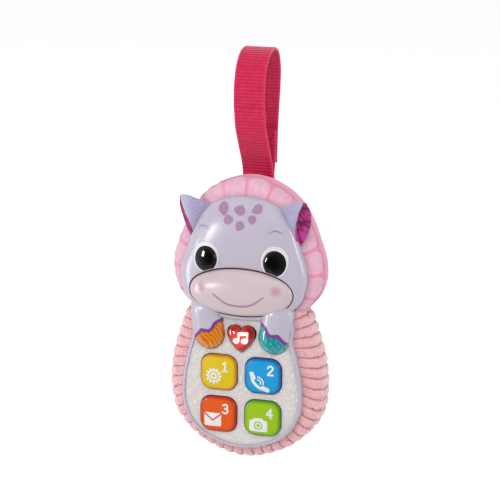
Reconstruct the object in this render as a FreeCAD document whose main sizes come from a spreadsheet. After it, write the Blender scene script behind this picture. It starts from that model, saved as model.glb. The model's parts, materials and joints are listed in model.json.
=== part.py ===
import FreeCAD, Part
import math
import os
import Sketcher

# A toddler's toy telephone shaped as a plump animal: a hard two-shell casing
# (head above, key panel below) wrapped by a padded hood and a ribbed plush
# sleeve, with a webbing loop behind the hood to hang it by.
#
# The sizes below are laid out with X to the right, Y to the back and Z up,
# from the middle of the four keys on the front of the key panel. Every
# sub-part's Placement then moves that point so that the origin of the model
# is where the loop hangs on a bar or a hook.

V = FreeCAD.Vector
doc = FreeCAD.newDocument("toy_phone")
sheet = doc.addObject("Spreadsheet::Sheet", "sizes")

DIMENSIONS = [
    ("hang_depth", 40.0, "hanging point behind the key panel"),
    ("hang_height", 208.6, "hanging point above the middle of the keys"),
    ("wall", 2.0, "shell wall"),
    ("split_depth", 17.0, "plane where the two shells meet"),
    ("back_depth", 33.0, "back face of the rear shell"),
    ("hooded_depth", 30.0, "back of the rear shell where the hood covers it"),
    ("hood_hem", 103.5, "height of the hood's lower edge at the back"),
    ("soft_gap", 0.3, "clearance round the soft parts"),
    ("body_half_width", 38.7, "casing under the keys, half its width"),
    ("body_bottom", -34.9, "lowest point of the casing"),
    ("neck_half_width", 32.6, "casing at the paws, half its width"),
    ("body_round", 3.0, "rounding of the casing's front edge"),
    ("head_half_width", 40.4, "head across the cheeks, half its width"),
    ("head_top", 125.8, "top of the head"),
    ("chin", 47.8, "underside of the chin"),
    ("head_front", -4.5, "front of the head"),
    ("head_wall", 2.2, "wall of the head"),
    ("head_round", 8.0, "rounding of the head's front edge"),
    ("back_round", 3.0, "rounding of the back edge"),
    ("hood_half_width", 49.6, "hood, half its width"),
    ("hood_top", 137.3, "top of the hood"),
    ("hood_neck", 52.2, "lower end of the hood"),
    ("hood_front_depth", 6.0, "front of the hood"),
    ("hood_back_depth", 33.6, "back of the hood"),
    ("hood_round", 12.5, "rounding of the hood's rim"),
    ("sleeve_half_width", 50.5, "plush sleeve, half its width"),
    ("sleeve_bottom", -42.5, "lowest point of the sleeve"),
    ("sleeve_top", 51.6, "upper end of the sleeve"),
    ("sleeve_front_depth", 4.6, "front of the sleeve"),
    ("sleeve_back_depth", 30.8, "back of the sleeve"),
    ("sleeve_round", 12.0, "rounding of the sleeve"),
    ("panel_thickness", 1.2, "printed key panel"),
    ("panel_margin", 3.2, "lilac rim left round the panel"),
    ("panel_top", 46.5, "upper end of the panel, under the chin"),
    ("key_width", 23.7, "key across"),
    ("key_tall", 22.7, "key upwards"),
    ("key_corner", 7.0, "corner radius of a key"),
    ("key_pitch_across", 28.8, "key to key across"),
    ("key_pitch_up", 27.2, "key to key upwards"),
    ("key_stand", 2.4, "key proud of the panel"),
    ("key_edge", 1.5, "rounding of a key's front edge"),
    ("key_gap", 0.4, "gap round a key"),
    ("flange_reach", 1.0, "how far a key's flange reaches past its cap"),
    ("flange_front", 3.2, "front of the keys' flanges"),
    ("flange_thickness", 1.0, "thickness of the flanges"),
    ("plunger_radius", 3.5, "plunger under each key"),
    ("plunger_tip", 6.1, "depth of the plunger's tip"),
    ("mat_front", 9.2, "front of the rubber mat"),
    ("dome_front", 7.9, "front of the mat's domes, pressed flat"),
    ("dome_radius", 4.6, "radius of the mat's domes"),
    ("board_front", 10.0, "front of the circuit board"),
    ("board_thickness", 1.6, "circuit board"),
    ("board_width", 50.0, "circuit board across"),
    ("board_bottom", -26.5, "lower end of the board"),
    ("board_top", 76.0, "upper end of the board"),
    ("board_corner", 10.0, "corner radius of the board"),
    ("mat_width", 46.0, "mat across"),
    ("mat_bottom", -24.0, "lower end of the mat"),
    ("mat_top", 47.0, "upper end of the mat"),
    ("heart_height", 37.0, "middle of the heart button"),
    ("heart_lobe", 4.95, "radius of the heart's lobes"),
    ("heart_spread", 4.35, "lobe centre from the middle"),
    ("heart_lift", 2.9, "lobe centre above the heart's middle"),
    ("heart_tip", 10.4, "tip below the heart's middle"),
    ("heart_stand", 2.2, "heart proud of the panel"),
    ("paw_spread", 20.9, "paw from the middle"),
    ("paw_height", 38.0, "middle of the paws"),
    ("paw_radius", 10.0, "radius of the paws"),
    ("paw_stand", 4.6, "paw proud of the panel"),
    ("muzzle_height", 66.6, "middle of the muzzle"),
    ("muzzle_half_width", 33.1, "muzzle, half its width"),
    ("muzzle_half_tall", 15.1, "muzzle, half its height"),
    ("muzzle_front", -9.2, "front of the muzzle"),
    ("muzzle_rim", -2.6, "where the muzzle's dome starts"),
    ("muzzle_back", 2.4, "back edge of the muzzle's skirt"),
    ("muzzle_gap", 0.5, "gap round the muzzle"),
    ("stem_spread", 20.0, "muzzle guide stems from the middle"),
    ("stem_radius", 2.0, "muzzle guide stems"),
    ("stem_tip", 9.4, "depth of the stems' ends"),
    ("stem_clearance", 0.08, "running clearance of the stems"),
    ("guide_front", 5.2, "front of the muzzle guide"),
    ("guide_thickness", 1.6, "muzzle guide plate"),
    ("eye_spread", 22.45, "eye from the middle"),
    ("eye_height", 86.6, "middle of the eyes"),
    ("eye_radius", 7.55, "radius of the eye"),
    ("eye_bulge", 3.2, "eye proud of its ring"),
    ("eye_ring_radius", 9.6, "outer radius of the white ring"),
    ("eye_ring_stand", 0.7, "ring proud of the head"),
    ("cell_radius", 5.25, "AAA cell"),
    ("cell_length", 44.5, "AAA cell with its nub"),
    ("cell_spread", 5.7, "cell from the middle"),
    ("cell_depth", 24.6, "middle of the cells"),
    ("bay_bottom", -26.4, "lower end of the battery bay"),
    ("bay_top", 21.8, "upper end of the battery bay"),
    ("bay_half_width", 12.4, "battery bay, half its width"),
    ("bay_floor", 18.8, "floor of the battery bay"),
    ("ledge_depth", 31.0, "ledge that the battery door lies on"),
    ("door_half_width", 15.0, "battery door, half its width"),
    ("door_bottom", -28.2, "tilt axis of the battery door"),
    ("door_top", 28.0, "upper edge of the battery door"),
    ("door_thickness", 1.7, "battery door"),
    ("door_gap", 0.35, "gap round the battery door"),
    ("door_screw_height", 24.9, "door screw"),
    ("speaker_height", 82.0, "middle of the speaker"),
    ("speaker_radius", 14.0, "speaker frame"),
    ("switch_height", 48.0, "middle of the on-off switch"),
    ("switch_travel", 5.0, "travel of the on-off switch"),
    ("strap_width", 20.0, "webbing across"),
    ("strap_thickness", 1.5, "webbing thickness"),
    ("strap_hinge_depth", 35.7, "where the loop bends off the hood"),
    ("strap_hinge_height", 131.0, "where the loop bends off the hood"),
    ("strap_sewn_bottom", 108.0, "lower end of the sewn stretch"),
]

for row, (alias, value, note) in enumerate(DIMENSIONS, 1):
    sheet.set(f"A{row}", note)
    sheet.set(f"B{row}", str(value))
    sheet.setAlias(f"B{row}", alias)
doc.recompute()


class Size:
    """A length with its value and the expression that gives it from the sheet."""

    def __init__(self, value, text):
        self.value = value
        self.text = text

    def combined(self, other, sign, value):
        return Size(value, f"({self.text} {sign} {as_size(other).text})")

    def __add__(self, other):
        return self.combined(other, "+", self.value + as_size(other).value)

    def __sub__(self, other):
        return self.combined(other, "-", self.value - as_size(other).value)

    def __mul__(self, factor):
        return self.combined(factor, "*", self.value * as_size(factor).value)

    def __truediv__(self, factor):
        return self.combined(factor, "/", self.value / as_size(factor).value)

    def __neg__(self):
        return self * -1


def as_size(number):
    return number if isinstance(number, Size) else Size(float(number), str(number))


class Sized:
    """s.key_width is the Size of that cell."""

    def __getattr__(self, alias):
        return Size(float(sheet.get(alias)), "sizes." + alias)


class Plain:
    """n.key_width is the plain number in that cell."""

    def __getattr__(self, alias):
        return float(sheet.get(alias))


s = Sized()
n = Plain()
nodes = []


def place(obj, x=0.0, y=0.0, z=0.0):
    """Bind an object's place, counted from the middle of the keys, to the sheet."""
    obj.setExpression(".Placement.Base.x", as_size(x).text)
    obj.setExpression(".Placement.Base.y", (as_size(y) - s.hang_depth).text)
    obj.setExpression(".Placement.Base.z", (as_size(z) - s.hang_height).text)


def move(obj, x, z):
    """Bind an ingredient's place across the front, before it is cut or fused."""
    obj.setExpression(".Placement.Base.x", as_size(x).text)
    obj.setExpression(".Placement.Base.z", as_size(z).text)


def node(obj, label, x=0.0, y=0.0, z=0.0):
    """Register a finished sub-part under the name of its file."""
    obj.Label = label
    place(obj, x, y, z)
    nodes.append(obj)
    return obj


def shape_node(label, shape):
    """A sub-part whose shape Part's own functions give, laid out from the middle of the keys."""
    obj = doc.addObject("Part::Feature", label)
    obj.Shape = shape
    return node(obj, label)


# ---- sketches and PartDesign bodies ---------------------------------------


def body_named(label):
    return doc.addObject("PartDesign::Body", label)


def sketch_on(body, role, name, offset=0.0):
    """A sketch on one of the body's own planes, moved along the plane's normal."""
    sketch = body.newObject("Sketcher::SketchObject", name)
    plane = [f for f in body.Origin.OriginFeatures if f.Role == role][0]
    sketch.AttachmentSupport = [(plane, "")]
    sketch.MapMode = "FlatFace"
    sketch.setExpression(".AttachmentOffset.Base.z", as_size(offset).text)
    return sketch


def facing_sketch(body, name, depth=0.0):
    """A sketch parallel to the panel: X across, Z up, at a depth behind the panel."""
    return sketch_on(body, "XZ_Plane", name, -as_size(depth))


def bind(sketch, constraint, name, length):
    """Add a dimension to a sketch and bind it to the sheet."""
    index = sketch.addConstraint(constraint)
    sketch.renameConstraint(index, name)
    sketch.setExpression(f"Constraints.{name}", length.text)


def rounded_rectangle(sketch, width, height, radius):
    """A centred rectangle with equal round corners."""
    w, h, r = width.value / 2, height.value / 2, radius.value
    corners = [(w, -h), (w, h), (-w, h), (-w, -h)]
    lines = []
    for k in range(4):
        (x0, y0), (x1, y1) = corners[k - 1], corners[k]
        length = math.hypot(x1 - x0, y1 - y0)
        step = V((x1 - x0) / length * r, (y1 - y0) / length * r, 0)
        start = V(x0, y0, 0) + step
        end = V(x1, y1, 0) - step
        lines.append(sketch.addGeometry(Part.LineSegment(start, end)))
    arcs = []
    for k, (x, y) in enumerate(corners):
        centre = V(x - math.copysign(r, x), y - math.copysign(r, y), 0)
        circle = Part.Circle(centre, V(0, 0, 1), r)
        first = (k - 1) * math.pi / 2
        arcs.append(sketch.addGeometry(Part.ArcOfCircle(circle, first, first + math.pi / 2)))
    for k in range(4):
        sketch.addConstraint(Sketcher.Constraint("Tangent", lines[k], 2, arcs[k], 1))
        sketch.addConstraint(Sketcher.Constraint("Tangent", arcs[k], 2, lines[(k + 1) % 4], 1))
    for k in range(3):
        sketch.addConstraint(Sketcher.Constraint("Equal", arcs[k], arcs[k + 1]))
    sketch.addConstraint(Sketcher.Constraint("Horizontal", lines[0]))
    sketch.addConstraint(Sketcher.Constraint("Vertical", lines[1]))
    sketch.addConstraint(Sketcher.Constraint("Symmetric", arcs[0], 3, arcs[2], 3, -1, 1))
    bind(sketch, Sketcher.Constraint("Radius", arcs[0], r), "corner", radius)
    bind(sketch, Sketcher.Constraint("DistanceX", lines[3], 1, lines[1], 1, 2 * w), "across", width)
    bind(sketch, Sketcher.Constraint("DistanceY", lines[0], 1, lines[2], 1, 2 * h), "up", height)


def circles(sketch, spots):
    """Circles at (x, z, radius), each dimension bound."""
    for k, (x, z, radius) in enumerate(spots):
        x, z, radius = as_size(x), as_size(z), as_size(radius)
        centre = V(x.value, z.value, 0)
        geo = sketch.addGeometry(Part.Circle(centre, V(0, 0, 1), radius.value))
        bind(sketch, Sketcher.Constraint("Radius", geo, radius.value), f"radius{k}", radius)
        for direction, length, axis in (("X", x, -2), ("Y", z, -1)):
            if length.value == 0:
                sketch.addConstraint(Sketcher.Constraint("PointOnObject", geo, 3, axis))
                continue
            dimension = Sketcher.Constraint("Distance" + direction, -1, 1, geo, 3, length.value)
            bind(sketch, dimension, f"centre{direction}{k}", length)


def grow(body, kind, sketch, name, length, to_back=True):
    """A Pad or a Pocket that runs towards the back, or towards the front."""
    feature = body.newObject("PartDesign::" + kind, name)
    feature.Profile = sketch
    feature.Reversed = to_back if kind == "Pad" else not to_back
    feature.setExpression("Length", as_size(length).text)
    sketch.Visibility = False
    doc.recompute()
    return feature


def cut_circles(body, name, depth, length, spots):
    """Round holes that run back from a depth. The volume shows that they cut."""
    before = body.Shape.Volume
    sketch = facing_sketch(body, name + "_sketch", depth)
    circles(sketch, spots)
    grow(body, "Pocket", sketch, name, length)
    if body.Shape.Volume >= before:
        raise SystemExit(f"{name} cuts nothing")


def edges_at_depth(shape, depth):
    """Names of the edges that lie wholly at one depth."""
    names = []
    for k, edge in enumerate(shape.Edges, 1):
        box = edge.BoundBox
        if abs(box.YMin - depth) < 1e-3 and abs(box.YMax - depth) < 1e-3:
            names.append(f"Edge{k}")
    return names


def round_edges(body, feature, depth, radius, name):
    fillet = body.newObject("PartDesign::Fillet", name)
    fillet.Base = (feature, edges_at_depth(feature.Shape, depth.value))
    fillet.setExpression("Radius", radius.text)
    doc.recompute()
    return fillet


def dome_radius(rim_radius, rise):
    """Radius of the ball that a dome is cut from."""
    return (rim_radius * rim_radius + rise * rise) / (rise * 2)


def revolved(label, profile, dome=None):
    """A turned piece about the Y axis. profile lists (radius, depth) corners in order.

    dome is the radius of an arc that replaces the first side.
    """
    body = body_named(label)
    sketch = sketch_on(body, "XY_Plane", label + "_profile")
    corners = [(as_size(x), as_size(y)) for x, y in profile]
    points = [V(x.value, y.value, 0) for x, y in corners]
    sides = []
    for k, point in enumerate(points):
        after = points[(k + 1) % len(points)]
        if k == 0 and dome is not None:
            middle = (point + after) * 0.5
            half = (after - point).Length / 2
            reach = math.sqrt(dome.value ** 2 - half ** 2)
            inward = V(-(after - point).y, (after - point).x, 0).normalize()
            centre = middle + inward * reach
            start = math.atan2(point.y - centre.y, point.x - centre.x)
            end = math.atan2(after.y - centre.y, after.x - centre.x)
            circle = Part.Circle(centre, V(0, 0, 1), dome.value)
            sides.append(sketch.addGeometry(Part.ArcOfCircle(circle, start, end)))
        else:
            sides.append(sketch.addGeometry(Part.LineSegment(point, after)))
    for k, side in enumerate(sides):
        follower = sides[(k + 1) % len(sides)]
        sketch.addConstraint(Sketcher.Constraint("Coincident", side, 2, follower, 1))
    for k, (x, y) in enumerate(corners):
        for direction, length, axis in (("X", x, -2), ("Y", y, -1)):
            if length.value == 0:
                sketch.addConstraint(Sketcher.Constraint("PointOnObject", sides[k], 1, axis))
                continue
            dimension = Sketcher.Constraint("Distance" + direction, -1, 1, sides[k], 1, length.value)
            bind(sketch, dimension, f"corner{direction}{k}", length)
    if dome is not None:
        bind(sketch, Sketcher.Constraint("Radius", sides[0], dome.value), "dome", dome)
    turn = body.newObject("PartDesign::Revolution", label + "_turn")
    turn.Profile = sketch
    turn.ReferenceAxis = (sketch, ["V_Axis"])
    turn.Angle = 360
    sketch.Visibility = False
    doc.recompute()
    return body


# ---- Part primitives -------------------------------------------------------


def box(name, low, high):
    """A Part::Box between two corners whose coordinates are bound to the sheet."""
    obj = doc.addObject("Part::Box", name)
    low = [as_size(c) for c in low]
    high = [as_size(c) for c in high]
    for side, axis, a, b in zip(("Length", "Width", "Height"), "xyz", low, high):
        obj.setExpression(side, (b - a).text)
        obj.setExpression(f".Placement.Base.{axis}", a.text)
    return obj


def cylinder(name, radius, x, z, front, back):
    """A Part::Cylinder along Y from one depth to another."""
    obj = doc.addObject("Part::Cylinder", name)
    obj.Placement = FreeCAD.Placement(V(0, 0, 0), FreeCAD.Rotation(V(1, 0, 0), -90))
    obj.setExpression("Radius", as_size(radius).text)
    obj.setExpression("Height", (as_size(back) - as_size(front)).text)
    obj.setExpression(".Placement.Base.x", as_size(x).text)
    obj.setExpression(".Placement.Base.y", as_size(front).text)
    obj.setExpression(".Placement.Base.z", as_size(z).text)
    return obj


def fused(name, pieces):
    obj = doc.addObject("Part::MultiFuse", name)
    obj.Shapes = pieces
    return obj


def cut(name, base, tool):
    obj = doc.addObject("Part::Cut", name)
    obj.Base = base
    obj.Tool = tool
    return obj


def group(name, pieces):
    obj = doc.addObject("Part::Compound", name)
    obj.Links = pieces
    return obj


# ---- outlines and rounded slabs --------------------------------------------


def head_half():
    """Right half of the head's outline, top to chin, as (x, z)."""
    w, top, chin = n.head_half_width, n.head_top, n.chin
    tall = top - chin
    return [
        (0, top),
        (0.54 * w, top - 0.077 * tall),
        (0.80 * w, top - 0.27 * tall),
        (0.95 * w, top - 0.49 * tall),
        (1.00 * w, top - 0.65 * tall),
        (0.88 * w, top - 0.835 * tall),
        (0.49 * w, top - 0.968 * tall),
        (0, chin),
    ]


def body_half():
    """Right half of the lower casing's outline, bottom to where the head hides it."""
    w, low, neck = n.body_half_width, n.body_bottom, n.neck_half_width
    return [
        (0, low),
        (0.45 * w, low + 3.4),
        (0.84 * w, low + 14.3),
        (1.00 * w, low + 34.9),
        (0.89 * w, low + 62.9),
        (neck, low + 72.0),
        (neck, low + 82.0),
        (0.7 * neck, low + 93.0),
        (0, low + 96.0),
    ]


def hood_half():
    """Right half of the hood's outline, top to where its neck is cut."""
    w, top = n.hood_half_width, n.hood_top
    return [
        (0, top),
        (0.56 * w, top - 10.6),
        (0.82 * w, top - 26.5),
        (0.97 * w, top - 48.5),
        (1.00 * w, top - 61.5),
        (0.90 * w, top - 76.0),
        (0.60 * w, top - 90.0),
        (0, top - 97.0),
    ]


def sleeve_half():
    """Right half of the sleeve's outline, bottom to where its neck is cut."""
    w, low = n.sleeve_half_width, n.sleeve_bottom
    return [
        (0, low),
        (0.48 * w, low + 6.4),
        (0.81 * w, low + 19.6),
        (0.98 * w, low + 37.0),
        (1.00 * w, low + 50.5),
        (0.95 * w, low + 66.5),
        (0.80 * w, low + 89.0),
        (0.55 * w, low + 104.0),
        (0, low + 110.0),
    ]


def outline(half, grown=0.0, depth=0.0):
    """A closed smooth wire through a half outline and its mirror image, grown outwards."""
    right = [V(x, depth, z) for x, z in half]
    left = [V(-p.x, depth, p.z) for p in reversed(right[1:-1])]
    points = right + left
    curve = Part.BSplineCurve()
    curve.interpolate(Points=points, PeriodicFlag=True)
    if grown:
        middle = V(0, depth, (half[0][1] + half[-1][1]) / 2)
        moved = []
        for point in points:
            tangent = curve.tangent(curve.parameter(point))[0]
            normal = V(tangent.z, 0, -tangent.x)
            if normal.dot(point - middle) < 0:
                normal = normal * -1
            moved.append(point + normal.normalize() * grown)
        curve = Part.BSplineCurve()
        curve.interpolate(Points=moved, PeriodicFlag=True)
    return Part.Wire(curve.toShape())


def slab(half, front, back, grown=0.0, round_front=0.0, round_back=0.0):
    """A slab of an outline between two depths, with rounded front and back edges."""
    solid = Part.Face(outline(half, grown, front)).extrude(V(0, back - front, 0))
    for depth, radius in ((front, round_front), (back, round_back)):
        if radius:
            names = edges_at_depth(solid, depth)
            edges = [solid.Edges[int(name[4:]) - 1] for name in names]
            solid = solid.makeFillet(radius, edges)
    return solid


def block(x0, x1, y0, y1, z0, z1):
    return Part.makeBox(x1 - x0, y1 - y0, z1 - z0, V(x0, y0, z0))


def post(x, z, front, back, radius):
    return Part.makeCylinder(radius, back - front, V(x, front, z), V(0, 1, 0))


def ellipse_slab(half_width, half_tall, height, front, back):
    curve = Part.Ellipse(V(half_width, front, height), V(0, front, height + half_tall), V(0, front, height))
    return Part.Face(Part.Wire(curve.toShape())).extrude(V(0, back - front, 0))


def ellipsoid(centre, across, deep, tall):
    """An ellipsoid with half sizes along X, Y and Z."""
    scale = FreeCAD.Matrix()
    scale.scale(V(across, deep, tall))
    solid = Part.makeSphere(1.0).transformGeometry(scale)
    solid.translate(centre)
    return solid


def rounded_key_hole(width, tall, corner, x, z, front, back):
    solid = block(x - width / 2, x + width / 2, front, back, z - tall / 2, z + tall / 2)
    upright = [e for e in solid.Edges if e.BoundBox.YLength > 0.5]
    return solid.makeFillet(corner, upright)


def heart(grown, front, back):
    """A heart from two round lobes and the tangents that meet in a rounded tip."""
    lobe, spread, lift = n.heart_lobe + grown, n.heart_spread, n.heart_lift
    tip = n.heart_tip + 1.25 * grown
    reach = math.hypot(spread, lift + tip)
    towards_tip = math.atan2(-(lift + tip), -spread)
    swing = math.acos(lobe / reach)
    touch = V(spread, 0, lift) + V(math.cos(towards_tip + swing), 0, math.sin(towards_tip + swing)) * lobe
    points = [V(0, front, -tip), V(touch.x, front, touch.z), V(spread, front, lift)]
    points += [V(-spread, front, lift), V(-touch.x, front, touch.z), V(0, front, -tip)]
    kite = Part.Face(Part.makePolygon(points)).extrude(V(0, back - front, 0))
    lobes = [post(x, lift, front, back, lobe) for x in (-spread, spread)]
    solid = kite.multiFuse(lobes).removeSplitter()
    tips = [e for e in solid.Edges if e.BoundBox.XLength < 1e-6 and e.BoundBox.ZLength < 1e-6
            and abs(e.BoundBox.ZMin + tip) < 1e-3]
    solid = solid.makeFillet(2.2, tips)
    solid.translate(V(0, 0, n.heart_height))
    return solid


KEY_SPOTS = {
    "key_1": (-1, 1),
    "key_2": (1, 1),
    "key_3": (-1, -1),
    "key_4": (1, -1),
}
BOARD_POSTS = [(0.0, 0.0), (-15.0, 29.8), (15.0, 29.8)]
SHELL_SCREWS = [(side * x, z) for x, z in ((31.6, -8.0), (28.7, 44.5), (27.8, 93.0)) for side in (-1, 1)]
SCREW_HEAD_DEPTH = 22.0


def without(shape, tools):
    """The shape with each tool cut from it in turn."""
    for tool in tools:
        shape = shape.cut(tool)
    return shape


def key_cuts(front, back, gap):
    """The four key holes and the heart's hole between two depths."""
    cuts = []
    for side, up in KEY_SPOTS.values():
        x, z = side * n.key_pitch_across / 2, up * n.key_pitch_up / 2
        width, tall = n.key_width + 2 * gap, n.key_tall + 2 * gap
        cuts.append(rounded_key_hole(width, tall, n.key_corner + gap, x, z, front, back))
    cuts.append(heart(gap, front, back))
    return cuts


# ---- shells ----------------------------------------------------------------


def front_shell():
    """Head and body in one moulding, open at the back."""
    wall = n.wall
    panel_floor = n.panel_thickness
    inner_front = panel_floor + 1.8
    head = slab(head_half(), n.head_front, n.split_depth, 0, n.head_round)
    body = slab(body_half(), 0, n.split_depth, 0, n.body_round)
    arms = []
    for side in (-1, 1):
        arms.append(ellipsoid(V(side * 24.0, 2.5, 44.0), 9.3, 5.6, 9.5))
    outside = head.multiFuse([body] + arms)
    inside = slab(head_half(), n.head_front + n.head_wall, n.split_depth + 1, -wall, n.head_round - 2)
    inside = inside.fuse(slab(body_half(), inner_front, n.split_depth + 1, -wall))
    shell = outside.cut(inside)
    recess = slab(body_half(), -1, panel_floor, -n.panel_margin)
    recess = recess.common(block(-60, 60, -2, panel_floor, -60, n.panel_top))
    shell = shell.cut(without(recess, arms))
    cuts = key_cuts(-3, inner_front + 1, n.key_gap)
    gap = n.muzzle_gap
    cuts.append(ellipse_slab(n.muzzle_half_width + gap, n.muzzle_half_tall + gap, n.muzzle_height, -12, 5))
    for side in (-1, 1):
        paw = post(side * n.paw_spread, n.paw_height, -6, panel_floor, n.paw_radius + 0.15)
        cuts.append(paw)
        cuts.append(post(side * n.eye_spread, n.eye_height, -6, n.head_front + 1.0, n.eye_ring_radius + 0.1))
        cuts.append(post(side * n.eye_spread, n.eye_height, -6, 2, 2.1))
    shell = without(shell, cuts)
    posts = [post(x, z, inner_front - 0.2, n.board_front, 2.5) for x, z in BOARD_POSTS]
    for x, z in SHELL_SCREWS:
        front = n.head_front + 1.5 if z > 60 else inner_front - 0.2
        posts.append(post(x, z, front, n.split_depth, 3.2))
    for side in (-1, 1):
        posts.append(post(side * 31.0, n.muzzle_height + 9.0, -3.3, n.guide_front, 2.6))
    shell = shell.multiFuse(posts)
    holes = [post(x, z, n.board_front - 5.5, n.board_front + 1, 0.9) for x, z in BOARD_POSTS]
    holes += [post(x, z, 7.0, n.split_depth + 1, 0.9) for x, z in SHELL_SCREWS]
    holes += [post(side * 31.0, n.muzzle_height + 9.0, 1.0, 9.0, 0.8) for side in (-1, 1)]
    return without(shell, holes)


def rear_shell():
    """The back of the casing: battery bay, grille, switch slot and screw towers."""
    wall, back = n.wall, n.back_depth
    below_hem = block(-60, 60, 0, back + 1, -60, n.hood_hem)
    head = slab(head_half(), n.split_depth, n.hooded_depth)
    raised = slab(head_half(), n.split_depth, back, 0, 0, n.back_round).common(below_hem)
    body = slab(body_half(), n.split_depth, back, 0, 0, n.back_round)
    outside = head.multiFuse([raised, body])
    inner_start = n.split_depth - 1
    inner_low = block(-60, 60, 0, back, -60, n.hood_hem - wall)
    inside = slab(head_half(), inner_start, n.hooded_depth - wall, -wall)
    inside = inside.fuse(slab(head_half(), inner_start, back - wall, -wall).common(inner_low))
    inside = inside.fuse(slab(body_half(), inner_start, back - wall, -wall))
    shell = outside.cut(inside)
    bay_wall = 4.2
    bay = block(-n.bay_half_width - bay_wall, n.bay_half_width + bay_wall, n.bay_floor - 1.4, back - 1,
                n.bay_bottom - bay_wall, n.door_top + 2.0)
    towers = [post(x, z, n.split_depth, back - 1, 3.6) for x, z in SHELL_SCREWS]
    ring = post(0, n.speaker_height, n.split_depth + 8, back - 1, n.speaker_radius + 1.8)
    inner_room = slab(head_half(), n.split_depth, back - 1, -wall + 0.2).fuse(
        slab(body_half(), n.split_depth, back - 1, -wall + 0.2))
    for addition in [bay] + towers + [ring]:
        shell = shell.fuse(addition.common(inner_room))
    gap = n.door_gap
    cuts = [block(-n.bay_half_width, n.bay_half_width, n.bay_floor, back + 1, n.bay_bottom, n.bay_top)]
    cuts.append(block(-n.door_half_width - gap, n.door_half_width + gap, n.ledge_depth, back + 1,
                      n.door_bottom - n.door_thickness / 2 - gap, n.door_top + gap))
    cuts.append(post(0, n.door_screw_height, n.ledge_depth - 5, back, 1.35))
    for x, z in SHELL_SCREWS:
        cuts.append(post(x, z, n.split_depth - 1, back, 1.2))
        cuts.append(post(x, z, SCREW_HEAD_DEPTH - 1.6, back + 1, 2.7))
    cuts.append(post(0, n.speaker_height, n.split_depth, back - wall, n.speaker_radius + 0.2))
    for k in range(-3, 4):
        reach = math.sqrt(11.5 ** 2 - (3.0 * k) ** 2)
        z = n.speaker_height + 3.0 * k
        slot = block(-reach, reach, back - 3, back + 1, z - 0.8, z + 0.8)
        cuts.append(slot)
    slot_half = (8.0 + n.switch_travel) / 2 + 0.4
    cuts.append(block(-slot_half, slot_half, back - 3, back + 1, n.switch_height - 2.4, n.switch_height + 2.4))
    return without(shell, cuts)


def key_panel():
    """Printed panel that lies in the front shell's recess."""
    slack = 0.1
    plate = slab(body_half(), 0, n.panel_thickness, -n.panel_margin - slack)
    plate = plate.common(block(-60, 60, -1, 5, -60, n.panel_top - slack))
    cuts = key_cuts(-1, 3, n.key_gap)
    for side in (-1, 1):
        cuts.append(ellipsoid(V(side * 24.0, 2.5, 44.0), 9.3 + slack, 5.6 + slack, 9.5 + slack))
        cuts.append(post(side * n.paw_spread, n.paw_height, -1, 3, n.paw_radius + 0.15))
    head = slab(head_half(), n.head_front, 3, slack)
    cuts.append(head)
    return without(plate, cuts)


# ---- soft parts ------------------------------------------------------------


def plush_sleeve():
    """Ribbed plush ring round the lower casing, as one plain closed solid."""
    gap = n.soft_gap
    ring = slab(sleeve_half(), n.sleeve_front_depth, n.sleeve_back_depth, 0, n.sleeve_round, n.sleeve_round)
    ring = ring.common(block(-60, 60, 0, 40, -60, n.sleeve_top))
    casing = slab(body_half(), 0, 40, gap).fuse(slab(head_half(), 0, 40, gap))
    return largest(ring.cut(casing))


def hood():
    """Padded hood: a ring round the head with a quilted back above the hem."""
    gap = n.soft_gap
    cap = slab(hood_half(), n.hood_front_depth, n.hood_back_depth, 0, n.hood_round, n.hood_round)
    cap = cap.common(block(-60, 60, 0, 40, n.hood_neck, 150))
    deep = slab(head_half(), 0, 40, gap).fuse(slab(body_half(), 0, 40, gap))
    deep = deep.common(block(-60, 60, 0, 40, 0, n.hood_hem + gap))
    shallow = slab(head_half(), 0, n.hooded_depth + gap, gap)
    return largest(cap.cut(deep.fuse(shallow)))


def largest(shape):
    """The largest solid of a shape, or all of them when they mirror each other."""
    solids = sorted(shape.Solids, key=lambda solid: -solid.Volume)
    kept = [solid for solid in solids if solid.Volume > 0.4 * solids[0].Volume]
    return kept[0] if len(kept) == 1 else Part.makeCompound(kept)


def ribbon(points, thickness, width):
    """Webbing across X, whose middle line passes through (depth, height) points."""
    line = Part.BSplineCurve()
    line.interpolate([V(0, y, z) for y, z in points])
    sides = []
    for sign in (1, -1):
        shifted = []
        for y, z in points:
            tangent = line.tangent(line.parameter(V(0, y, z)))[0]
            shifted.append(V(-width / 2, y, z) + V(0, -tangent.z, tangent.y) * (sign * thickness / 2))
        side = Part.BSplineCurve()
        side.interpolate(shifted)
        sides.append((side.toShape(), shifted))
    (first, a), (second, b) = sides
    edges = [first, Part.LineSegment(a[-1], b[-1]).toShape(), second, Part.LineSegment(b[0], a[0]).toShape()]
    return Part.Face(Part.Wire(Part.__sortEdges__(edges))).extrude(V(width, 0, 0))


# Middle lines of the webbing, as (depth, height): the front leg with the crest,
# the rear flap, and the short tab that the flap closes on.
FRONT_LEG = [(34.8, 132.8), (34.3, 141.0), (29.2, 152.5), (23.7, 165.2), (21.7, 178.0), (22.2, 191.0),
             (26.6, 203.0), (35.0, 210.3), (45.0, 212.1), (52.0, 209.2), (55.4, 203.5)]
REAR_FLAP = [(56.3, 200.4), (56.6, 194.0), (55.5, 184.0), (51.9, 170.0), (49.3, 160.0), (46.9, 150.0), (44.2, 140.5)]
TAB = [(36.5, 132.8), (37.6, 135.5), (40.4, 141.3), (43.0, 150.8), (45.3, 160.6)]
PATCH_OFFSET = 1.3
HOOK_PATCH = [(depth + PATCH_OFFSET, height - 0.3) for depth, height in TAB[2:]]
LOOP_PATCH = [(depth - PATCH_OFFSET, height + 0.3) for depth, height in REAR_FLAP[4:]]


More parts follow.
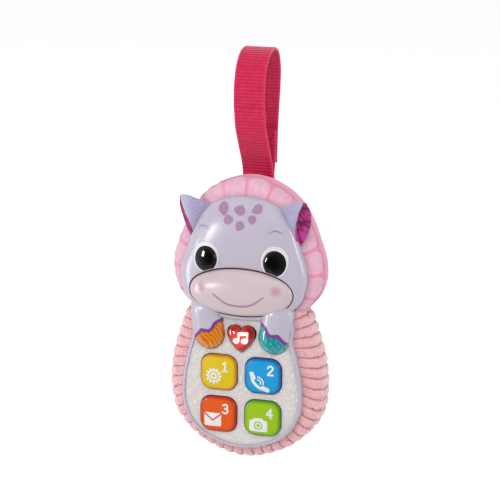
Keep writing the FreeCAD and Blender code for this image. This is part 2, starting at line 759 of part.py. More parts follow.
def ear(side, lining=False, grown=0.0):
    """A rolled ear whose lining fills the hollow on its outward side."""
    base = V(side * 31.5, 1.6, 108.0)
    along = V(side * 0.50, 0, -0.866)
    out = V(side * 0.72, -0.30, 0.62).normalize()
    front = (out.cross(along) * -side).normalize()
    rings = ((0.0, 8.6, 2.3), (7.0, 8.2, 2.5), (14.0, 5.0, 1.9), (19.5, 1.4, 0.8))
    wires = []
    for reach, half_long, half_thick in rings:
        centre = base + out * reach
        if lining:
            centre = centre + along * (0.40 * half_long) + front * (0.75 * half_thick) + out * 0.6
            half_long = 0.48 * half_long + grown
            half_thick = 0.45 * half_thick + grown
        major = centre + along * half_long
        minor = centre + front * half_thick
        wires.append(Part.Wire(Part.Ellipse(major, minor, centre).toShape()))
    return Part.makeLoft(wires, True)


def lead(points, radius):
    """A clipped wire: straight runs joined by arcs as large as the runs allow."""
    points = [V(*p) for p in points]
    edges = []
    start = points[0]
    for before, corner, after in zip(points, points[1:], points[2:]):
        to_before = before - corner
        to_after = after - corner
        turn = math.pi - to_before.getAngle(to_after)
        run = min(to_before.Length, to_after.Length)
        bend = 0.45 * run / math.tan(turn / 2)
        back_off = bend * math.tan(turn / 2)
        arc_start = corner + to_before.normalize() * back_off
        arc_end = corner + to_after.normalize() * back_off
        inward = ((arc_start + arc_end) * 0.5 - corner).normalize()
        middle = corner + inward * (bend / math.cos(turn / 2) - bend)
        edges.append(Part.LineSegment(start, arc_start).toShape())
        edges.append(Part.Arc(arc_start, middle, arc_end).toShape())
        start = arc_end
    edges.append(Part.LineSegment(start, points[-1]).toShape())
    path = Part.Wire(edges)
    first = points[1] - points[0]
    section = Part.Wire(Part.Circle(points[0], first, radius).toShape())
    tube = path.makePipeShell([section], True, False)
    expected = math.pi * radius ** 2 * path.Length
    if abs(tube.Volume - expected) > 0.03 * expected:
        raise SystemExit(f"lead volume {tube.Volume:.2f}, expected {expected:.2f}")
    return tube


def bow_spring(x, bottom, depth):
    """Leaf contact bowed up from the bay's end wall to press on a cell."""
    bow = [(-3.4, 0.0), (-1.8, 1.7), (0.0, 2.3), (1.8, 1.7), (3.4, 0.0)]
    leaf = ribbon([(depth + along, bottom + rise) for along, rise in bow], 0.35, 5.0)
    leaf.translate(V(x, 0, 0))
    return leaf


def add_keys():
    for label, (side, up) in KEY_SPOTS.items():
        body = body_named(label)
        cap_sketch = facing_sketch(body, label + "_cap_outline", -s.key_stand)
        rounded_rectangle(cap_sketch, s.key_width, s.key_tall, s.key_corner)
        cap = grow(body, "Pad", cap_sketch, label + "_cap", s.key_stand + s.flange_front)
        round_edges(body, cap, -s.key_stand, s.key_edge, label + "_edge")
        flange_sketch = facing_sketch(body, label + "_flange_outline", s.flange_front)
        reach = s.flange_reach * 2
        rounded_rectangle(flange_sketch, s.key_width + reach, s.key_tall + reach, s.key_corner + s.flange_reach)
        grow(body, "Pad", flange_sketch, label + "_flange", s.flange_thickness)
        plunger_sketch = facing_sketch(body, label + "_plunger_outline", s.flange_front)
        circles(plunger_sketch, [(0, 0, s.plunger_radius)])
        grow(body, "Pad", plunger_sketch, label + "_plunger", s.plunger_tip - s.flange_front)
        node(body, label, s.key_pitch_across * (side / 2), 0, s.key_pitch_up * (up / 2))


def heart_button():
    """Clear heart button with a flange behind the panel and a short plunger."""
    cap = heart(0, -n.heart_stand, n.flange_front)
    front = [e for e in cap.Edges if abs(e.BoundBox.YMax + n.heart_stand) < 1e-3]
    cap = cap.makeFillet(1.2, front)
    flange = heart(n.flange_reach, n.flange_front, n.flange_front + n.flange_thickness)
    plunger = post(0, n.heart_height + 4.0, n.flange_front, n.plunger_tip, 2.2)
    return cap.multiFuse([flange, plunger]).removeSplitter()


def muzzle():
    """Domed muzzle on two guide stems, with a plunger for its switch."""
    dome = ellipsoid(V(0, n.muzzle_rim, n.muzzle_height), n.muzzle_half_width + 0.5,
                     n.muzzle_rim - n.muzzle_front, n.muzzle_half_tall + 0.5)
    dome = dome.fuse(block(-60, 60, n.muzzle_rim, n.muzzle_back + 5, 0, 120))
    side_wall = ellipse_slab(n.muzzle_half_width, n.muzzle_half_tall, n.muzzle_height,
                             n.muzzle_front - 1, n.muzzle_back)
    hollow = ellipse_slab(n.muzzle_half_width - 1.8, n.muzzle_half_tall - 1.8, n.muzzle_height,
                          n.muzzle_rim + 0.5, n.muzzle_back + 1)
    shape = side_wall.common(dome).cut(hollow)
    stems = [post(side * n.stem_spread, n.muzzle_height, n.muzzle_rim, n.stem_tip, n.stem_radius)
             for side in (-1, 1)]
    plunger = post(0, n.muzzle_height, n.muzzle_rim, 6.4, 2.2)
    return shape.multiFuse(stems + [plunger]).removeSplitter()


def muzzle_guide():
    """Plate behind the muzzle with a bearing hole for each stem."""
    plate = block(-33.0, 33.0, n.guide_front, n.guide_front + n.guide_thickness,
                  n.muzzle_height - 7.0, n.muzzle_height + 12.0)
    plate = plate.makeFillet(3.0, [e for e in plate.Edges if e.BoundBox.YLength > 1])
    holes = [post(side * n.stem_spread, n.muzzle_height, 0, 20, n.stem_radius + n.stem_clearance)
             for side in (-1, 1)]
    holes += [post(side * 31.0, n.muzzle_height + 9.0, 0, 20, 0.95) for side in (-1, 1)]
    holes.append(post(0, n.muzzle_height, 0, 20, 5.6))
    return without(plate, holes)


def add_board():
    board = body_named("main_board")
    outline_sketch = facing_sketch(board, "board_outline", s.board_front)
    rounded_rectangle(outline_sketch, s.board_width, s.board_top - s.board_bottom, s.board_corner)
    grow(board, "Pad", outline_sketch, "board_plate", s.board_thickness)
    middle = (s.board_top + s.board_bottom) * 0.5
    spots = [(x, -middle + z, 1.1) for x, z in BOARD_POSTS]
    spots += [(s.stem_spread * side, s.muzzle_height - middle, s.stem_radius + 0.9) for side in (-1, 1)]
    cut_circles(board, "board_holes", s.board_front - 1, s.board_thickness + 2, spots)
    node(board, "main_board", 0, 0, middle)

    mat = body_named("keypad_mat")
    mat_sketch = facing_sketch(mat, "mat_outline", s.mat_front)
    rounded_rectangle(mat_sketch, s.mat_width, s.mat_top - s.mat_bottom, s.board_corner)
    grow(mat, "Pad", mat_sketch, "mat_sheet", s.board_front - s.mat_front)
    middle = (s.mat_top + s.mat_bottom) * 0.5
    dome_sketch = facing_sketch(mat, "mat_dome_outlines", s.dome_front)
    spread, rise = s.key_pitch_across * 0.5, s.key_pitch_up * 0.5
    domes = [(spread * side, rise * up - middle, s.dome_radius) for side, up in KEY_SPOTS.values()]
    domes.append((0, s.heart_height + 4.0 - middle, 3.4))
    circles(dome_sketch, domes)
    grow(mat, "Pad", dome_sketch, "mat_domes", s.mat_front - s.dome_front)
    openings = [(x, -middle + z, 2.9) for x, z in BOARD_POSTS]
    openings.append((0, s.heart_height - 3.0 - middle, 2.6))
    cut_circles(mat, "mat_holes", s.dome_front - 1, 4, openings)
    node(mat, "keypad_mat", 0, 0, middle)


def add_board_parts():
    back = s.board_front + s.board_thickness
    chips = [
        box("sound_chip", (-14, back, 14), (-4, back + 1.4, 24)),
        box("memory_chip", (4, back, 30), (9, back + 1.2, 36)),
        box("capacitor_1", (12, back, 10), (14, back + 1.6, 13)),
        box("capacitor_2", (16, back, 10), (18, back + 1.6, 13)),
        box("lead_socket", (-5, back, 60), (5, back + 4.0, 64)),
    ]
    node(group("chip_group", chips), "board_chips")
    led_front = s.board_front - 1.6
    led_z = s.heart_height - 3.0
    led = box("led", (-1.6, led_front, led_z - 1.6), (1.6, s.board_front, led_z + 1.6))
    node(led, "heart_led", -1.6, led_front, led_z - 1.6)
    tact_z = s.muzzle_height
    tact_body = box("tact_body", (-3, s.board_front - 1.3, tact_z - 3), (3, s.board_front, tact_z + 3))
    tact_cap = cylinder("tact_cap", 1.6, 0, tact_z, s.board_front - 1.9, s.board_front - 1.3)
    node(fused("tact_switch", [tact_body, tact_cap]), "muzzle_switch")


def add_screws():
    """Fasteners, each kind one group of separate solids."""
    def screw(name, x, z, head_front, head_back, head_radius, shank_radius, tip):
        head = cylinder(name + "_head", head_radius, x, z, head_front, head_back)
        shank = cylinder(name + "_shank", shank_radius, x, z, tip, head_front)
        slot = box(name + "_slot", (as_size(x) - head_radius, as_size(head_back) - 0.6, as_size(z) - 0.35),
                   (as_size(x) + head_radius, as_size(head_back) + 1, as_size(z) + 0.35))
        return cut(name, fused(name + "_blank", [head, shank]), slot)

    head_front = s.split_depth + 3.4
    shell = [screw(f"shell_screw_{k}", x, z, head_front, SCREW_HEAD_DEPTH, 2.4, 0.88, 9.0)
             for k, (x, z) in enumerate(SHELL_SCREWS)]
    node(group("shell_screw_group", shell), "shell_screws")
    back = s.board_front + s.board_thickness
    board = [screw(f"board_screw_{k}", x, z, back, back + 1.5, 2.0, 0.88, s.board_front - 4.5)
             for k, (x, z) in enumerate(BOARD_POSTS)]
    node(group("board_screw_group", board), "board_screws")
    plate_back = s.guide_front + s.guide_thickness
    guide = [screw(f"guide_screw_{k}", side * 31.0, s.muzzle_height + 9.0, plate_back, plate_back + 1.3,
                   1.8, 0.78, 2.0) for k, side in enumerate((-1, 1))]
    node(group("guide_screw_group", guide), "guide_screws")
    door_back = s.ledge_depth + s.door_thickness
    door_screw = screw("door_screw_blank", 0, s.door_screw_height, door_back - 0.9, door_back + 0.1,
                       2.3, 0.9, s.ledge_depth - 2.2)
    node(door_screw, "door_screw")


def add_face():
    muzzle_room = doc.addObject("Part::Feature", "muzzle_room")
    muzzle_room.Shape = ellipse_slab(n.muzzle_half_width + n.muzzle_gap, n.muzzle_half_tall + n.muzzle_gap,
                                     n.muzzle_height, -12, 8)
    for side, word in ((-1, "left"), (1, "right")):
        ring = revolved(f"ring_{word}", [
            (s.eye_radius + 0.05, s.head_front - s.eye_ring_stand),
            (s.eye_radius + 0.05, s.head_front + 0.95),
            (s.eye_ring_radius, s.head_front + 0.95),
            (s.eye_ring_radius, s.head_front - 0.1),
        ])
        move(ring, s.eye_spread * side, s.eye_height)
        node(cut(f"eye_ring_{word}_cut", ring, muzzle_room), f"eye_ring_{word}")
        eye_rim = s.head_front - s.eye_ring_stand
        ball = revolved(f"ball_{word}", [
            (0, eye_rim - s.eye_bulge),
            (s.eye_radius, eye_rim),
            (s.eye_radius, s.head_front + 0.95),
            (2.0, s.head_front + 0.95),
            (2.0, 5.0),
            (0, 5.0),
        ], dome_radius(s.eye_radius, s.eye_bulge))
        move(ball, s.eye_spread * side, s.eye_height)
        node(cut(f"eye_{word}_cut", ball, muzzle_room), f"eye_{word}")
        paw = revolved(f"paw_{word}", [
            (0, -s.paw_stand),
            (s.paw_radius, 0),
            (s.paw_radius, s.panel_thickness - 0.05),
            (0, s.panel_thickness - 0.05),
        ], dome_radius(s.paw_radius, s.paw_stand))
        node(paw, f"paw_{word}", s.paw_spread * side, 0, s.paw_height)


def add_power():
    for side, label in ((-1, "cell_1"), (1, "cell_2")):
        can = doc.addObject("Part::Cylinder", label + "_can")
        can.setExpression("Radius", s.cell_radius.text)
        can.setExpression("Height", (s.cell_length - 1.0).text)
        nub = doc.addObject("Part::Cylinder", label + "_nub")
        nub.Radius = 1.9
        nub.Height = 1.0
        nub.setExpression(".Placement.Base.z", (s.cell_length - 1.0).text)
        node(fused(label + "_blank", [can, nub]), label, s.cell_spread * side, s.cell_depth, s.bay_bottom + 3.1)
    springs = [bow_spring(side * n.cell_spread, n.bay_bottom + 0.35, n.cell_depth) for side in (-1, 1)]
    shape_node("battery_springs", Part.makeCompound(springs))
    plates = []
    for side, word in ((-1, "left"), (1, "right")):
        middle = s.cell_spread * side
        plates.append(box(f"contact_{word}", (middle - 4, s.cell_depth - 4, s.bay_top - 0.45),
                          (middle + 4, s.cell_depth + 4, s.bay_top)))
    node(group("contact_group", plates), "battery_contacts")


def battery_door():
    """Door with a round lower edge on its tilt axis and a recess for its screw."""
    back = n.ledge_depth + n.door_thickness
    round_edge = n.door_thickness / 2
    plate = block(-n.door_half_width, n.door_half_width, n.ledge_depth + 0.02, back, n.door_bottom, n.door_top)
    upright = [e for e in plate.Edges if e.BoundBox.YLength > 1 and e.BoundBox.ZMin > n.door_top - 1]
    plate = plate.makeFillet(4.0, upright)
    roll = Part.makeCylinder(round_edge - 0.01, 2 * n.door_half_width,
                             V(-n.door_half_width, back - round_edge, n.door_bottom), V(1, 0, 0))
    door = plate.fuse(roll)
    grips = [block(-9, 9, back - 0.5, back + 1, z - 0.5, z + 0.5) for z in (12.0, 14.2, 16.4)]
    grips.append(post(0, n.door_screw_height, back - 0.9, back + 1, 2.6))
    grips.append(post(0, n.door_screw_height, n.ledge_depth - 1, back + 1, 1.05))
    return without(door, grips)


def add_sound_and_switch():
    front = s.back_depth - s.wall - 1.2 - 9.0
    height = s.speaker_height
    magnet = cylinder("magnet", 7.0, 0, height, front, front + 4.5)
    basket = cylinder("basket", s.speaker_radius, 0, height, front + 4.5, front + 9.0)
    dish = doc.addObject("Part::Cone", "dish")
    dish.Placement = FreeCAD.Placement(V(0, 0, 0), FreeCAD.Rotation(V(1, 0, 0), -90))
    dish.Radius1 = 3.0
    dish.Radius2 = 12.0
    dish.Height = 3.2
    dish.setExpression(".Placement.Base.y", (front + 5.9).text)
    dish.setExpression(".Placement.Base.z", height.text)
    node(cut("speaker_frame", fused("speaker_blank", [magnet, basket]), dish), "speaker")
    gasket = cut("gasket_ring", cylinder("gasket_blank", s.speaker_radius, 0, height, front + 9.0, front + 10.1),
                 cylinder("gasket_hole", 12.2, 0, height, front + 8.0, front + 11.0))
    node(gasket, "speaker_gasket")

    slot_back = s.back_depth - s.wall
    reach = (s.switch_travel + 8.0) * 0.5
    case = box("switch_case", (-reach - 1.5, slot_back - 6.2, s.switch_height - 4),
               (reach + 1.5, slot_back - 1.2, s.switch_height + 4))
    channel = box("switch_channel", (-reach + 1.4, slot_back - 3.0, s.switch_height - 1.3),
                  (reach - 1.4, slot_back, s.switch_height + 1.3))
    node(cut("switch_blank", case, channel), "slide_switch")
    start = s.switch_travel * -0.5
    stem = box("knob_stem", (start - 2, slot_back - 2.8, s.switch_height - 1.1),
               (start + 2, slot_back - 0.9, s.switch_height + 1.1))
    shoe = box("knob_shoe", (start - 3.6, slot_back - 0.9, s.switch_height - 3.2),
               (start + 3.6, slot_back - 0.25, s.switch_height + 3.2))
    grip = box("knob_grip", (start - 3.6, slot_back - 0.25, s.switch_height - 2.0),
               (start + 3.6, s.back_depth + 0.9, s.switch_height + 2.0))
    node(fused("knob_blank", [stem, shoe, grip]), "switch_knob")


def add_straps():
    sewn_top = n.strap_hinge_height - 1.7
    layers = []
    for depth in (FRONT_LEG[0][0], TAB[0][0] + 0.05):
        layers.append(block(-n.strap_width / 2, n.strap_width / 2, depth - n.strap_thickness / 2,
                            depth + n.strap_thickness / 2, n.strap_sewn_bottom, sewn_top))
    shape_node("strap_base", Part.makeCompound(layers))
    shape_node("strap_front", ribbon(FRONT_LEG, n.strap_thickness, n.strap_width))
    shape_node("strap_tab", ribbon(TAB, n.strap_thickness, n.strap_width))
    shape_node("strap_flap", ribbon(REAR_FLAP, n.strap_thickness, n.strap_width))
    shape_node("hook_patch", ribbon(HOOK_PATCH, 0.7, n.strap_width - 3.0))
    shape_node("loop_patch", ribbon(LOOP_PATCH, 0.7, n.strap_width - 3.0))


def add_leads():
    back = n.board_front + n.board_thickness
    speaker_front = n.back_depth - n.wall - 10.2
    pair = [lead([(x, back + 4.0, 62.0), (x, 19.0, 62.0), (x * 2.8, 19.0, 72.0),
                  (x * 2.8, speaker_front + 4.48, 72.0)], 0.55) for x in (-3.2, 3.2)]
    shape_node("speaker_leads", Part.makeCompound(pair))


shape_node("front_shell", front_shell())
shape_node("rear_shell", rear_shell())
shape_node("key_panel", key_panel())
shape_node("plush_sleeve", plush_sleeve())
shape_node("hood", hood())
add_keys()
shape_node("heart_button", heart_button())
shape_node("muzzle", muzzle())
shape_node("muzzle_guide", muzzle_guide())
add_face()
add_board()
add_board_parts()
add_power()
shape_node("battery_door", battery_door())
add_sound_and_switch()
add_screws()
add_straps()
add_leads()
for ear_side, ear_word in ((-1, "left"), (1, "right")):
    hollow = ear(ear_side, lining=True, grown=0.06)
    shape_node(f"ear_{ear_word}", largest(ear(ear_side).cut(hollow)))
    shape_node(f"ear_lining_{ear_word}", ear(ear_side, lining=True))

doc.recompute()
for obj in doc.Objects:
    if {"Invalid", "Error"} & set(obj.State):
        raise SystemExit(f"{obj.Label} failed: {obj.State}")
broken = [obj.Label for obj in nodes
          if obj.Shape.isNull() or not obj.Shape.isValid() or not obj.Shape.Solids]
if broken:
    raise SystemExit(f"no valid solid: {broken}")

os.makedirs("parts", exist_ok=True)
for obj in nodes:
    obj.Shape.exportStep(f"parts/{obj.Label}.step")
    box_size = obj.Shape.BoundBox
    print(f"{obj.Label:18s} {len(obj.Shape.Solids)} solids {obj.Shape.Volume:10.1f} mm3"
          f"  x {box_size.XMin:6.1f}..{box_size.XMax:6.1f}  y {box_size.YMin:6.1f}..{box_size.YMax:6.1f}"
          f"  z {box_size.ZMin:6.1f}..{box_size.ZMax:6.1f}")
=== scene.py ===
import json
import math

import bmesh
import bpy
import numpy as np
from mathutils import Matrix, Quaternion, Vector, noise
from mathutils.geometry import delaunay_2d_cdt


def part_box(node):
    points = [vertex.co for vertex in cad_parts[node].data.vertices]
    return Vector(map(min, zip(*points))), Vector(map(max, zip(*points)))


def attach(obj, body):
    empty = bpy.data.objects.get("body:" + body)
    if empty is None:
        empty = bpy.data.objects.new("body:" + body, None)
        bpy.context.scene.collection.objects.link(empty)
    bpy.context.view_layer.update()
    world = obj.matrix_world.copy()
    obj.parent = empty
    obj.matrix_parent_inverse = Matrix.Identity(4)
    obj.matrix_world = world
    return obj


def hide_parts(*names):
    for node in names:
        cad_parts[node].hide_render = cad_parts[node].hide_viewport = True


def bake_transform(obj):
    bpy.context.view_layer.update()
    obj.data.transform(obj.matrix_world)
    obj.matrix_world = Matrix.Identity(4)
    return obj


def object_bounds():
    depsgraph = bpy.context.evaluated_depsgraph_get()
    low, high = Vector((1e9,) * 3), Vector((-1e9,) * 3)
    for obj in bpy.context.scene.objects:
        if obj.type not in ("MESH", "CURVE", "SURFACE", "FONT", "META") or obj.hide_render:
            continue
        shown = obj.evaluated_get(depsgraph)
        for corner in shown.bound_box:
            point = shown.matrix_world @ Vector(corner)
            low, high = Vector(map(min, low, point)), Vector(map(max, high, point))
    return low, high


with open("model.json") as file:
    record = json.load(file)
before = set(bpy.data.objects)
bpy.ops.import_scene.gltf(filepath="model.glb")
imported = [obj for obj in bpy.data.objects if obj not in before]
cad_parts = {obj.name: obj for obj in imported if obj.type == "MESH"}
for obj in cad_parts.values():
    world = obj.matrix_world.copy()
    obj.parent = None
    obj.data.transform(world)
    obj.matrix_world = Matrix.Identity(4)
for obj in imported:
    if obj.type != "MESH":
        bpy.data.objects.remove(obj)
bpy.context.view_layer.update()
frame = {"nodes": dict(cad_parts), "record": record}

# Shapes below are in millimetres from the middle of the four keys, on the key panel's
# front: x to the right, y back, z up. make() turns them into the frame's metres.
MM = 0.001
KEY_BOXES = [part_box(f"key_{number}") for number in (1, 2, 3, 4)]
MIDDLE = Vector((0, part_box("key_panel")[0].y, sum(low.z + high.z for low, high in KEY_BOXES) / 8))


def measured(node):
    """Lowest and highest corner of a CAD node, in the millimetres used here."""
    low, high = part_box(node)
    return (low - MIDDLE) / MM, (high - MIDDLE) / MM


# ---- colours and materials ----

STUDIO_GAIN = 1.95
GLARE = 0.03


def albedo(red, green, blue):
    """The surface colour that shows as this screen colour under the studio's light."""
    linear = [((c / 255 + 0.055) / 1.055) ** 2.4 for c in (red, green, blue)]
    return [max(c - GLARE, 0.0015) / STUDIO_GAIN for c in linear]


class Finish:
    """A Principled material and short ways to add to its node tree."""

    def __init__(self, name, colour, roughness, **settings):
        self.material = bpy.data.materials.new(name)
        self.material.use_nodes = True
        self.tree = self.material.node_tree
        self.shader = self.tree.nodes["Principled BSDF"]
        self.set(Base_Color=(*albedo(*colour), 1), Roughness=roughness, **settings)

    def fill(self, socket, value):
        """Links a socket to another one, or gives it a value."""
        if isinstance(value, bpy.types.NodeSocket):
            self.tree.links.new(value, socket)
        else:
            socket.default_value = value

    def node(self, kind, settings=None, **inputs):
        """A new node; an input is named as Blender names it, with _ for a space, or i and its number."""
        made = self.tree.nodes.new("ShaderNode" + kind)
        for key, value in (settings or {}).items():
            setattr(made, key, value)
        for key, value in inputs.items():
            numbered = key[0] == "i" and key[1:].isdigit()
            self.fill(made.inputs[int(key[1:]) if numbered else key.replace("_", " ")], value)
        return made

    def set(self, **inputs):
        """Values or links for the shader's own inputs, with _ for a space in their names."""
        for key, value in inputs.items():
            self.fill(self.shader.inputs[key.replace("_", " ")], value)

    def math(self, operation, a, b=0.0):
        return self.node("Math", {"operation": operation}, i0=a, i1=b).outputs[0]

    def times(self, a, b):
        return self.math("MULTIPLY", a, b)

    def minus(self, a, b):
        return self.math("SUBTRACT", a, b)

    def plus(self, a, b):
        return self.math("ADD", a, b)

    def size_of(self, a):
        return self.math("ABSOLUTE", a)

    def where(self):
        return self.node("TexCoord").outputs["Object"]

    def uv(self):
        both = self.node("SeparateXYZ", Vector=self.node("TexCoord").outputs["UV"])
        return both.outputs[0], both.outputs[1]

    def noise(self, size_mm, detail=2.0, roughness=0.5):
        made = self.node("TexNoise", Vector=self.where(), Scale=1 / (size_mm * MM), Detail=detail,
                         Roughness=roughness)
        return made.outputs["Fac"]

    def ramp(self, factor, low, high):
        """factor stretched so that low gives 0 and high gives 1."""
        return self.node("MapRange", {"interpolation_type": "SMOOTHSTEP"}, Value=factor, From_Min=low,
                         From_Max=high).outputs["Result"]

    def mix(self, factor, a, b):
        """Colour a at factor 0 and b at factor 1; each is a screen colour or a socket."""
        a, b = (c if isinstance(c, bpy.types.NodeSocket) else (*albedo(*c), 1) for c in (a, b))
        return self.node("Mix", {"data_type": "RGBA"}, Factor=factor, i6=a, i7=b).outputs[2]

    def paint(self, factor, a, b):
        """Makes the base colour a at factor 0 and b at factor 1."""
        self.set(Base_Color=self.mix(factor, a, b))

    def share(self):
        """The piece's own 0 to 1 map: 1 at its rim and 0 at its middle."""
        return self.node("SeparateXYZ", Vector=self.node("UVMap", {"uv_map": "share"}).outputs[0]).outputs[0]

    def bump(self, height, depth_mm, strength=1.0):
        made = self.node("Bump", Height=height, Distance=depth_mm * MM, Strength=strength)
        self.set(Normal=made.outputs["Normal"])


def plastic(name, colour, roughness=0.22, variation=0.035, grain=0.0, **settings):
    """Moulded plastic: a faint unevenness of colour and a little flow in the surface."""
    settings.setdefault("IOR", 1.5)
    finish = Finish(name, colour, roughness, **settings)
    deeper = [c * (1 - variation) for c in colour]
    finish.paint(finish.noise(14, 3), deeper, colour)
    height = finish.noise(0.35, 2) if grain else finish.noise(9, 1)
    finish.bump(height, grain or 0.05)
    return finish


def metal(name, colour, roughness=0.3):
    finish = Finish(name, colour, roughness, Metallic=1.0)
    drawn_out = finish.node("Mapping", {}, Vector=finish.where(), Scale=(1, 1, 14)).outputs[0]
    streaks = finish.node("TexNoise", Vector=drawn_out, Scale=900, Detail=3).outputs["Fac"]
    finish.paint(streaks, [c * 0.82 for c in colour], colour)
    finish.bump(streaks, 0.03)
    return finish


def assign(obj, finish):
    obj.data.materials.clear()
    obj.data.materials.append(finish.material)


# ---- mesh building ----


def unit(vectors):
    """The vectors at length 1."""
    return vectors / np.maximum(np.linalg.norm(vectors, axis=-1, keepdims=True), 1e-9)


def evenly(line, count, closed=False):
    """Evenly spaced points along a line; a closed one ends where it starts, and that point isn't repeated."""
    reach = np.concatenate([[0], np.cumsum(np.linalg.norm(np.diff(line, axis=0), axis=1))])
    stops = np.linspace(0, reach[-1], count, endpoint=not closed)
    return np.column_stack([np.interp(stops, reach, column) for column in line.T])


def smooth(points, count, closed=False):
    """Evenly spaced points along a smooth curve through the given ones."""
    p = np.array(points, float)
    ends = (p[-1:], p[:2]) if closed else (2 * p[:1] - p[1:2], 2 * p[-1:] - p[-2:-1])
    p = np.vstack([ends[0], p, ends[1]])
    t = np.linspace(0, 1, 24, endpoint=False)[:, None]
    runs = []
    for a, b, c, d in zip(p, p[1:], p[2:], p[3:]):
        cubic = 3 * b - a - 3 * c + d
        runs.append(0.5 * (2 * b + (c - a) * t + (2 * a - 5 * b + 4 * c - d) * t**2 + cubic * t**3))
    return evenly(np.vstack([*runs, p[-2:-1]]), count, closed)


def mirrored(half):
    """A closed outline from its right half, listed from the top to the bottom."""
    return [*half, *[(-x, z) for x, z in reversed(half) if abs(x) > 1e-6]]


def normals_2d(line, closed=True):
    """Unit vectors to the left of travel; outward for a loop that runs clockwise."""
    if closed:
        along = np.roll(line, -1, axis=0) - np.roll(line, 1, axis=0)
    else:
        along = np.gradient(line, axis=0)
    along = unit(along)
    return np.column_stack([-along[:, 1], along[:, 0]])


def add_object(name, data):
    obj = bpy.data.objects.new(name, data)
    bpy.context.scene.collection.objects.link(obj)
    return obj


def make(name, points, faces, finish, body=None):
    """A smooth-shaded mesh piece from millimetre points, riding on a CAD body."""
    mesh = bpy.data.meshes.new(name)
    origin = np.array(MIDDLE)
    mesh.from_pydata((np.array(points, float) * MM + origin).tolist(), [], faces)
    edit = bmesh.new()
    edit.from_mesh(mesh)
    bmesh.ops.recalc_face_normals(edit, faces=edit.faces)
    edit.to_mesh(mesh)
    edit.free()
    mesh.polygons.foreach_set("use_smooth", [True] * len(mesh.polygons))
    obj = add_object(name, mesh)
    assign(obj, finish)
    if body:
        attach(obj, body)
    return obj


def grid_faces(rows, columns, wrap=False):
    last = columns if wrap else columns - 1
    return [(r * columns + c, r * columns + (c + 1) % columns, (r + 1) * columns + (c + 1) % columns,
             (r + 1) * columns + c) for r in range(rows - 1) for c in range(last)]


def grid(name, rows, finish, body=None, wrap=False, fill_start=False, fill_end=False):
    """A piece from rows of points; a filled end closes its row with a fan to the row's middle."""
    rows = np.array(rows, float)
    count, columns = rows.shape[:2]
    points = rows.reshape(-1, 3).tolist()
    faces = grid_faces(count, columns, wrap)
    for wanted, row in ((fill_start, 0), (fill_end, count - 1)):
        if wanted:
            points.append(rows[row].mean(axis=0).tolist())
            hub = len(points) - 1
            faces += [(hub, row * columns + c, row * columns + (c + 1) % columns) for c in range(columns)]
    return make(name, points, faces, finish, body)


def at_depth(loop, depth):
    """The points of an (x, z) loop, set back by one depth or by one for each."""
    return np.column_stack([loop[:, 0], np.broadcast_to(depth, len(loop)), loop[:, 1]])


def inside(points, loop):
    """Which points lie in the closed loop, by counting crossings."""
    x, z = points[:, 0][:, None], points[:, 1][:, None]
    a, b = loop, np.roll(loop, -1, axis=0)
    spans = (a[:, 1] > z) != (b[:, 1] > z)
    rise = np.where(b[:, 1] == a[:, 1], 1e-9, b[:, 1] - a[:, 1])
    crossing = a[:, 0] + (z - a[:, 1]) * (b[:, 0] - a[:, 0]) / rise
    return (spans & (x < crossing)).sum(axis=1) % 2 == 1


def within(points, loops):
    """Which points lie in a shape: inside its edge loop and outside its holes."""
    kept = inside(points, loops[0])
    for hole in loops[1:]:
        kept &= ~inside(points, hole)
    return kept


def share_map(obj, shares):
    """A UV map from one (u, v) pair for each vertex."""
    layer = obj.data.uv_layers.new(name="share")
    corners = np.zeros(len(obj.data.loops), int)
    obj.data.loops.foreach_get("vertex_index", corners)
    layer.data.foreach_set("uv", np.array(shares, float)[corners].ravel())


def drape(loops, surface, lift, spacing, sink):
    """Points and faces of one shape laid on a surface: its edge loop, then any holes."""
    loops = [np.array(loop, float) for loop in loops]
    low, high = loops[0].min(axis=0), loops[0].max(axis=0)
    columns = np.arange(low[0], high[0], spacing)
    lines = np.arange(low[1], high[1], spacing * 0.866)
    field = np.array([(x + (k % 2) * spacing / 2, z) for k, z in enumerate(lines) for x in columns])
    edge = np.vstack(loops)
    field = field[within(field, loops)]
    if len(field):
        gap = np.min(np.hypot(field[:, 0, None] - edge[:, 0], field[:, 1, None] - edge[:, 1]), axis=1)
        field = field[gap > spacing * 0.45]
    points, edges = [], []
    for loop in loops:
        first = len(points)
        points += [Vector(p) for p in loop]
        edges += [(first + k, first + (k + 1) % len(loop)) for k in range(len(loop))]
    points += [Vector(p) for p in field]
    flat, _, triangles, *_ = delaunay_2d_cdt(points, edges, [], 0, 1e-6)
    flat = np.array([tuple(p) for p in flat])
    middles = np.array([flat[list(t)].mean(axis=0) for t in triangles])
    faces = [tuple(t) for t, keep in zip(triangles, within(middles, loops)) if keep]
    depth = surface(flat[:, 0], flat[:, 1]) - lift
    solid = [(x, y, z) for (x, z), y in zip(flat, depth)]
    if sink:
        open_edges = {}
        for a, b, c in faces:
            for side in ((a, b), (b, c), (c, a)):
                key = tuple(sorted(side))
                open_edges[key] = None if key in open_edges else side
        rim = [side for side in open_edges.values() if side]
        lower = {k: len(solid) + n for n, k in enumerate(sorted({k for side in rim for k in side}))}
        solid += [(solid[k][0], solid[k][1] + sink, solid[k][2]) for k in lower]
        faces += [(b, a, lower[a], lower[b]) for a, b in rim]
    return solid, faces


def draped(name, shapes, surface, finish, body, lift=0.06, spacing=0.8, sink=0.0):
    """A thin piece of one or more shapes that follow a surface, which gives depth y at x and z.

    A shape is an edge loop followed by its holes. sink above 0 gives each a skirt that deep."""
    points, faces = [], []
    for loops in shapes:
        more, triangles = drape(loops, surface, lift, spacing, sink)
        faces += [tuple(k + len(points) for k in face) for face in triangles]
        points += more
    return make(name, points, faces, finish, body)


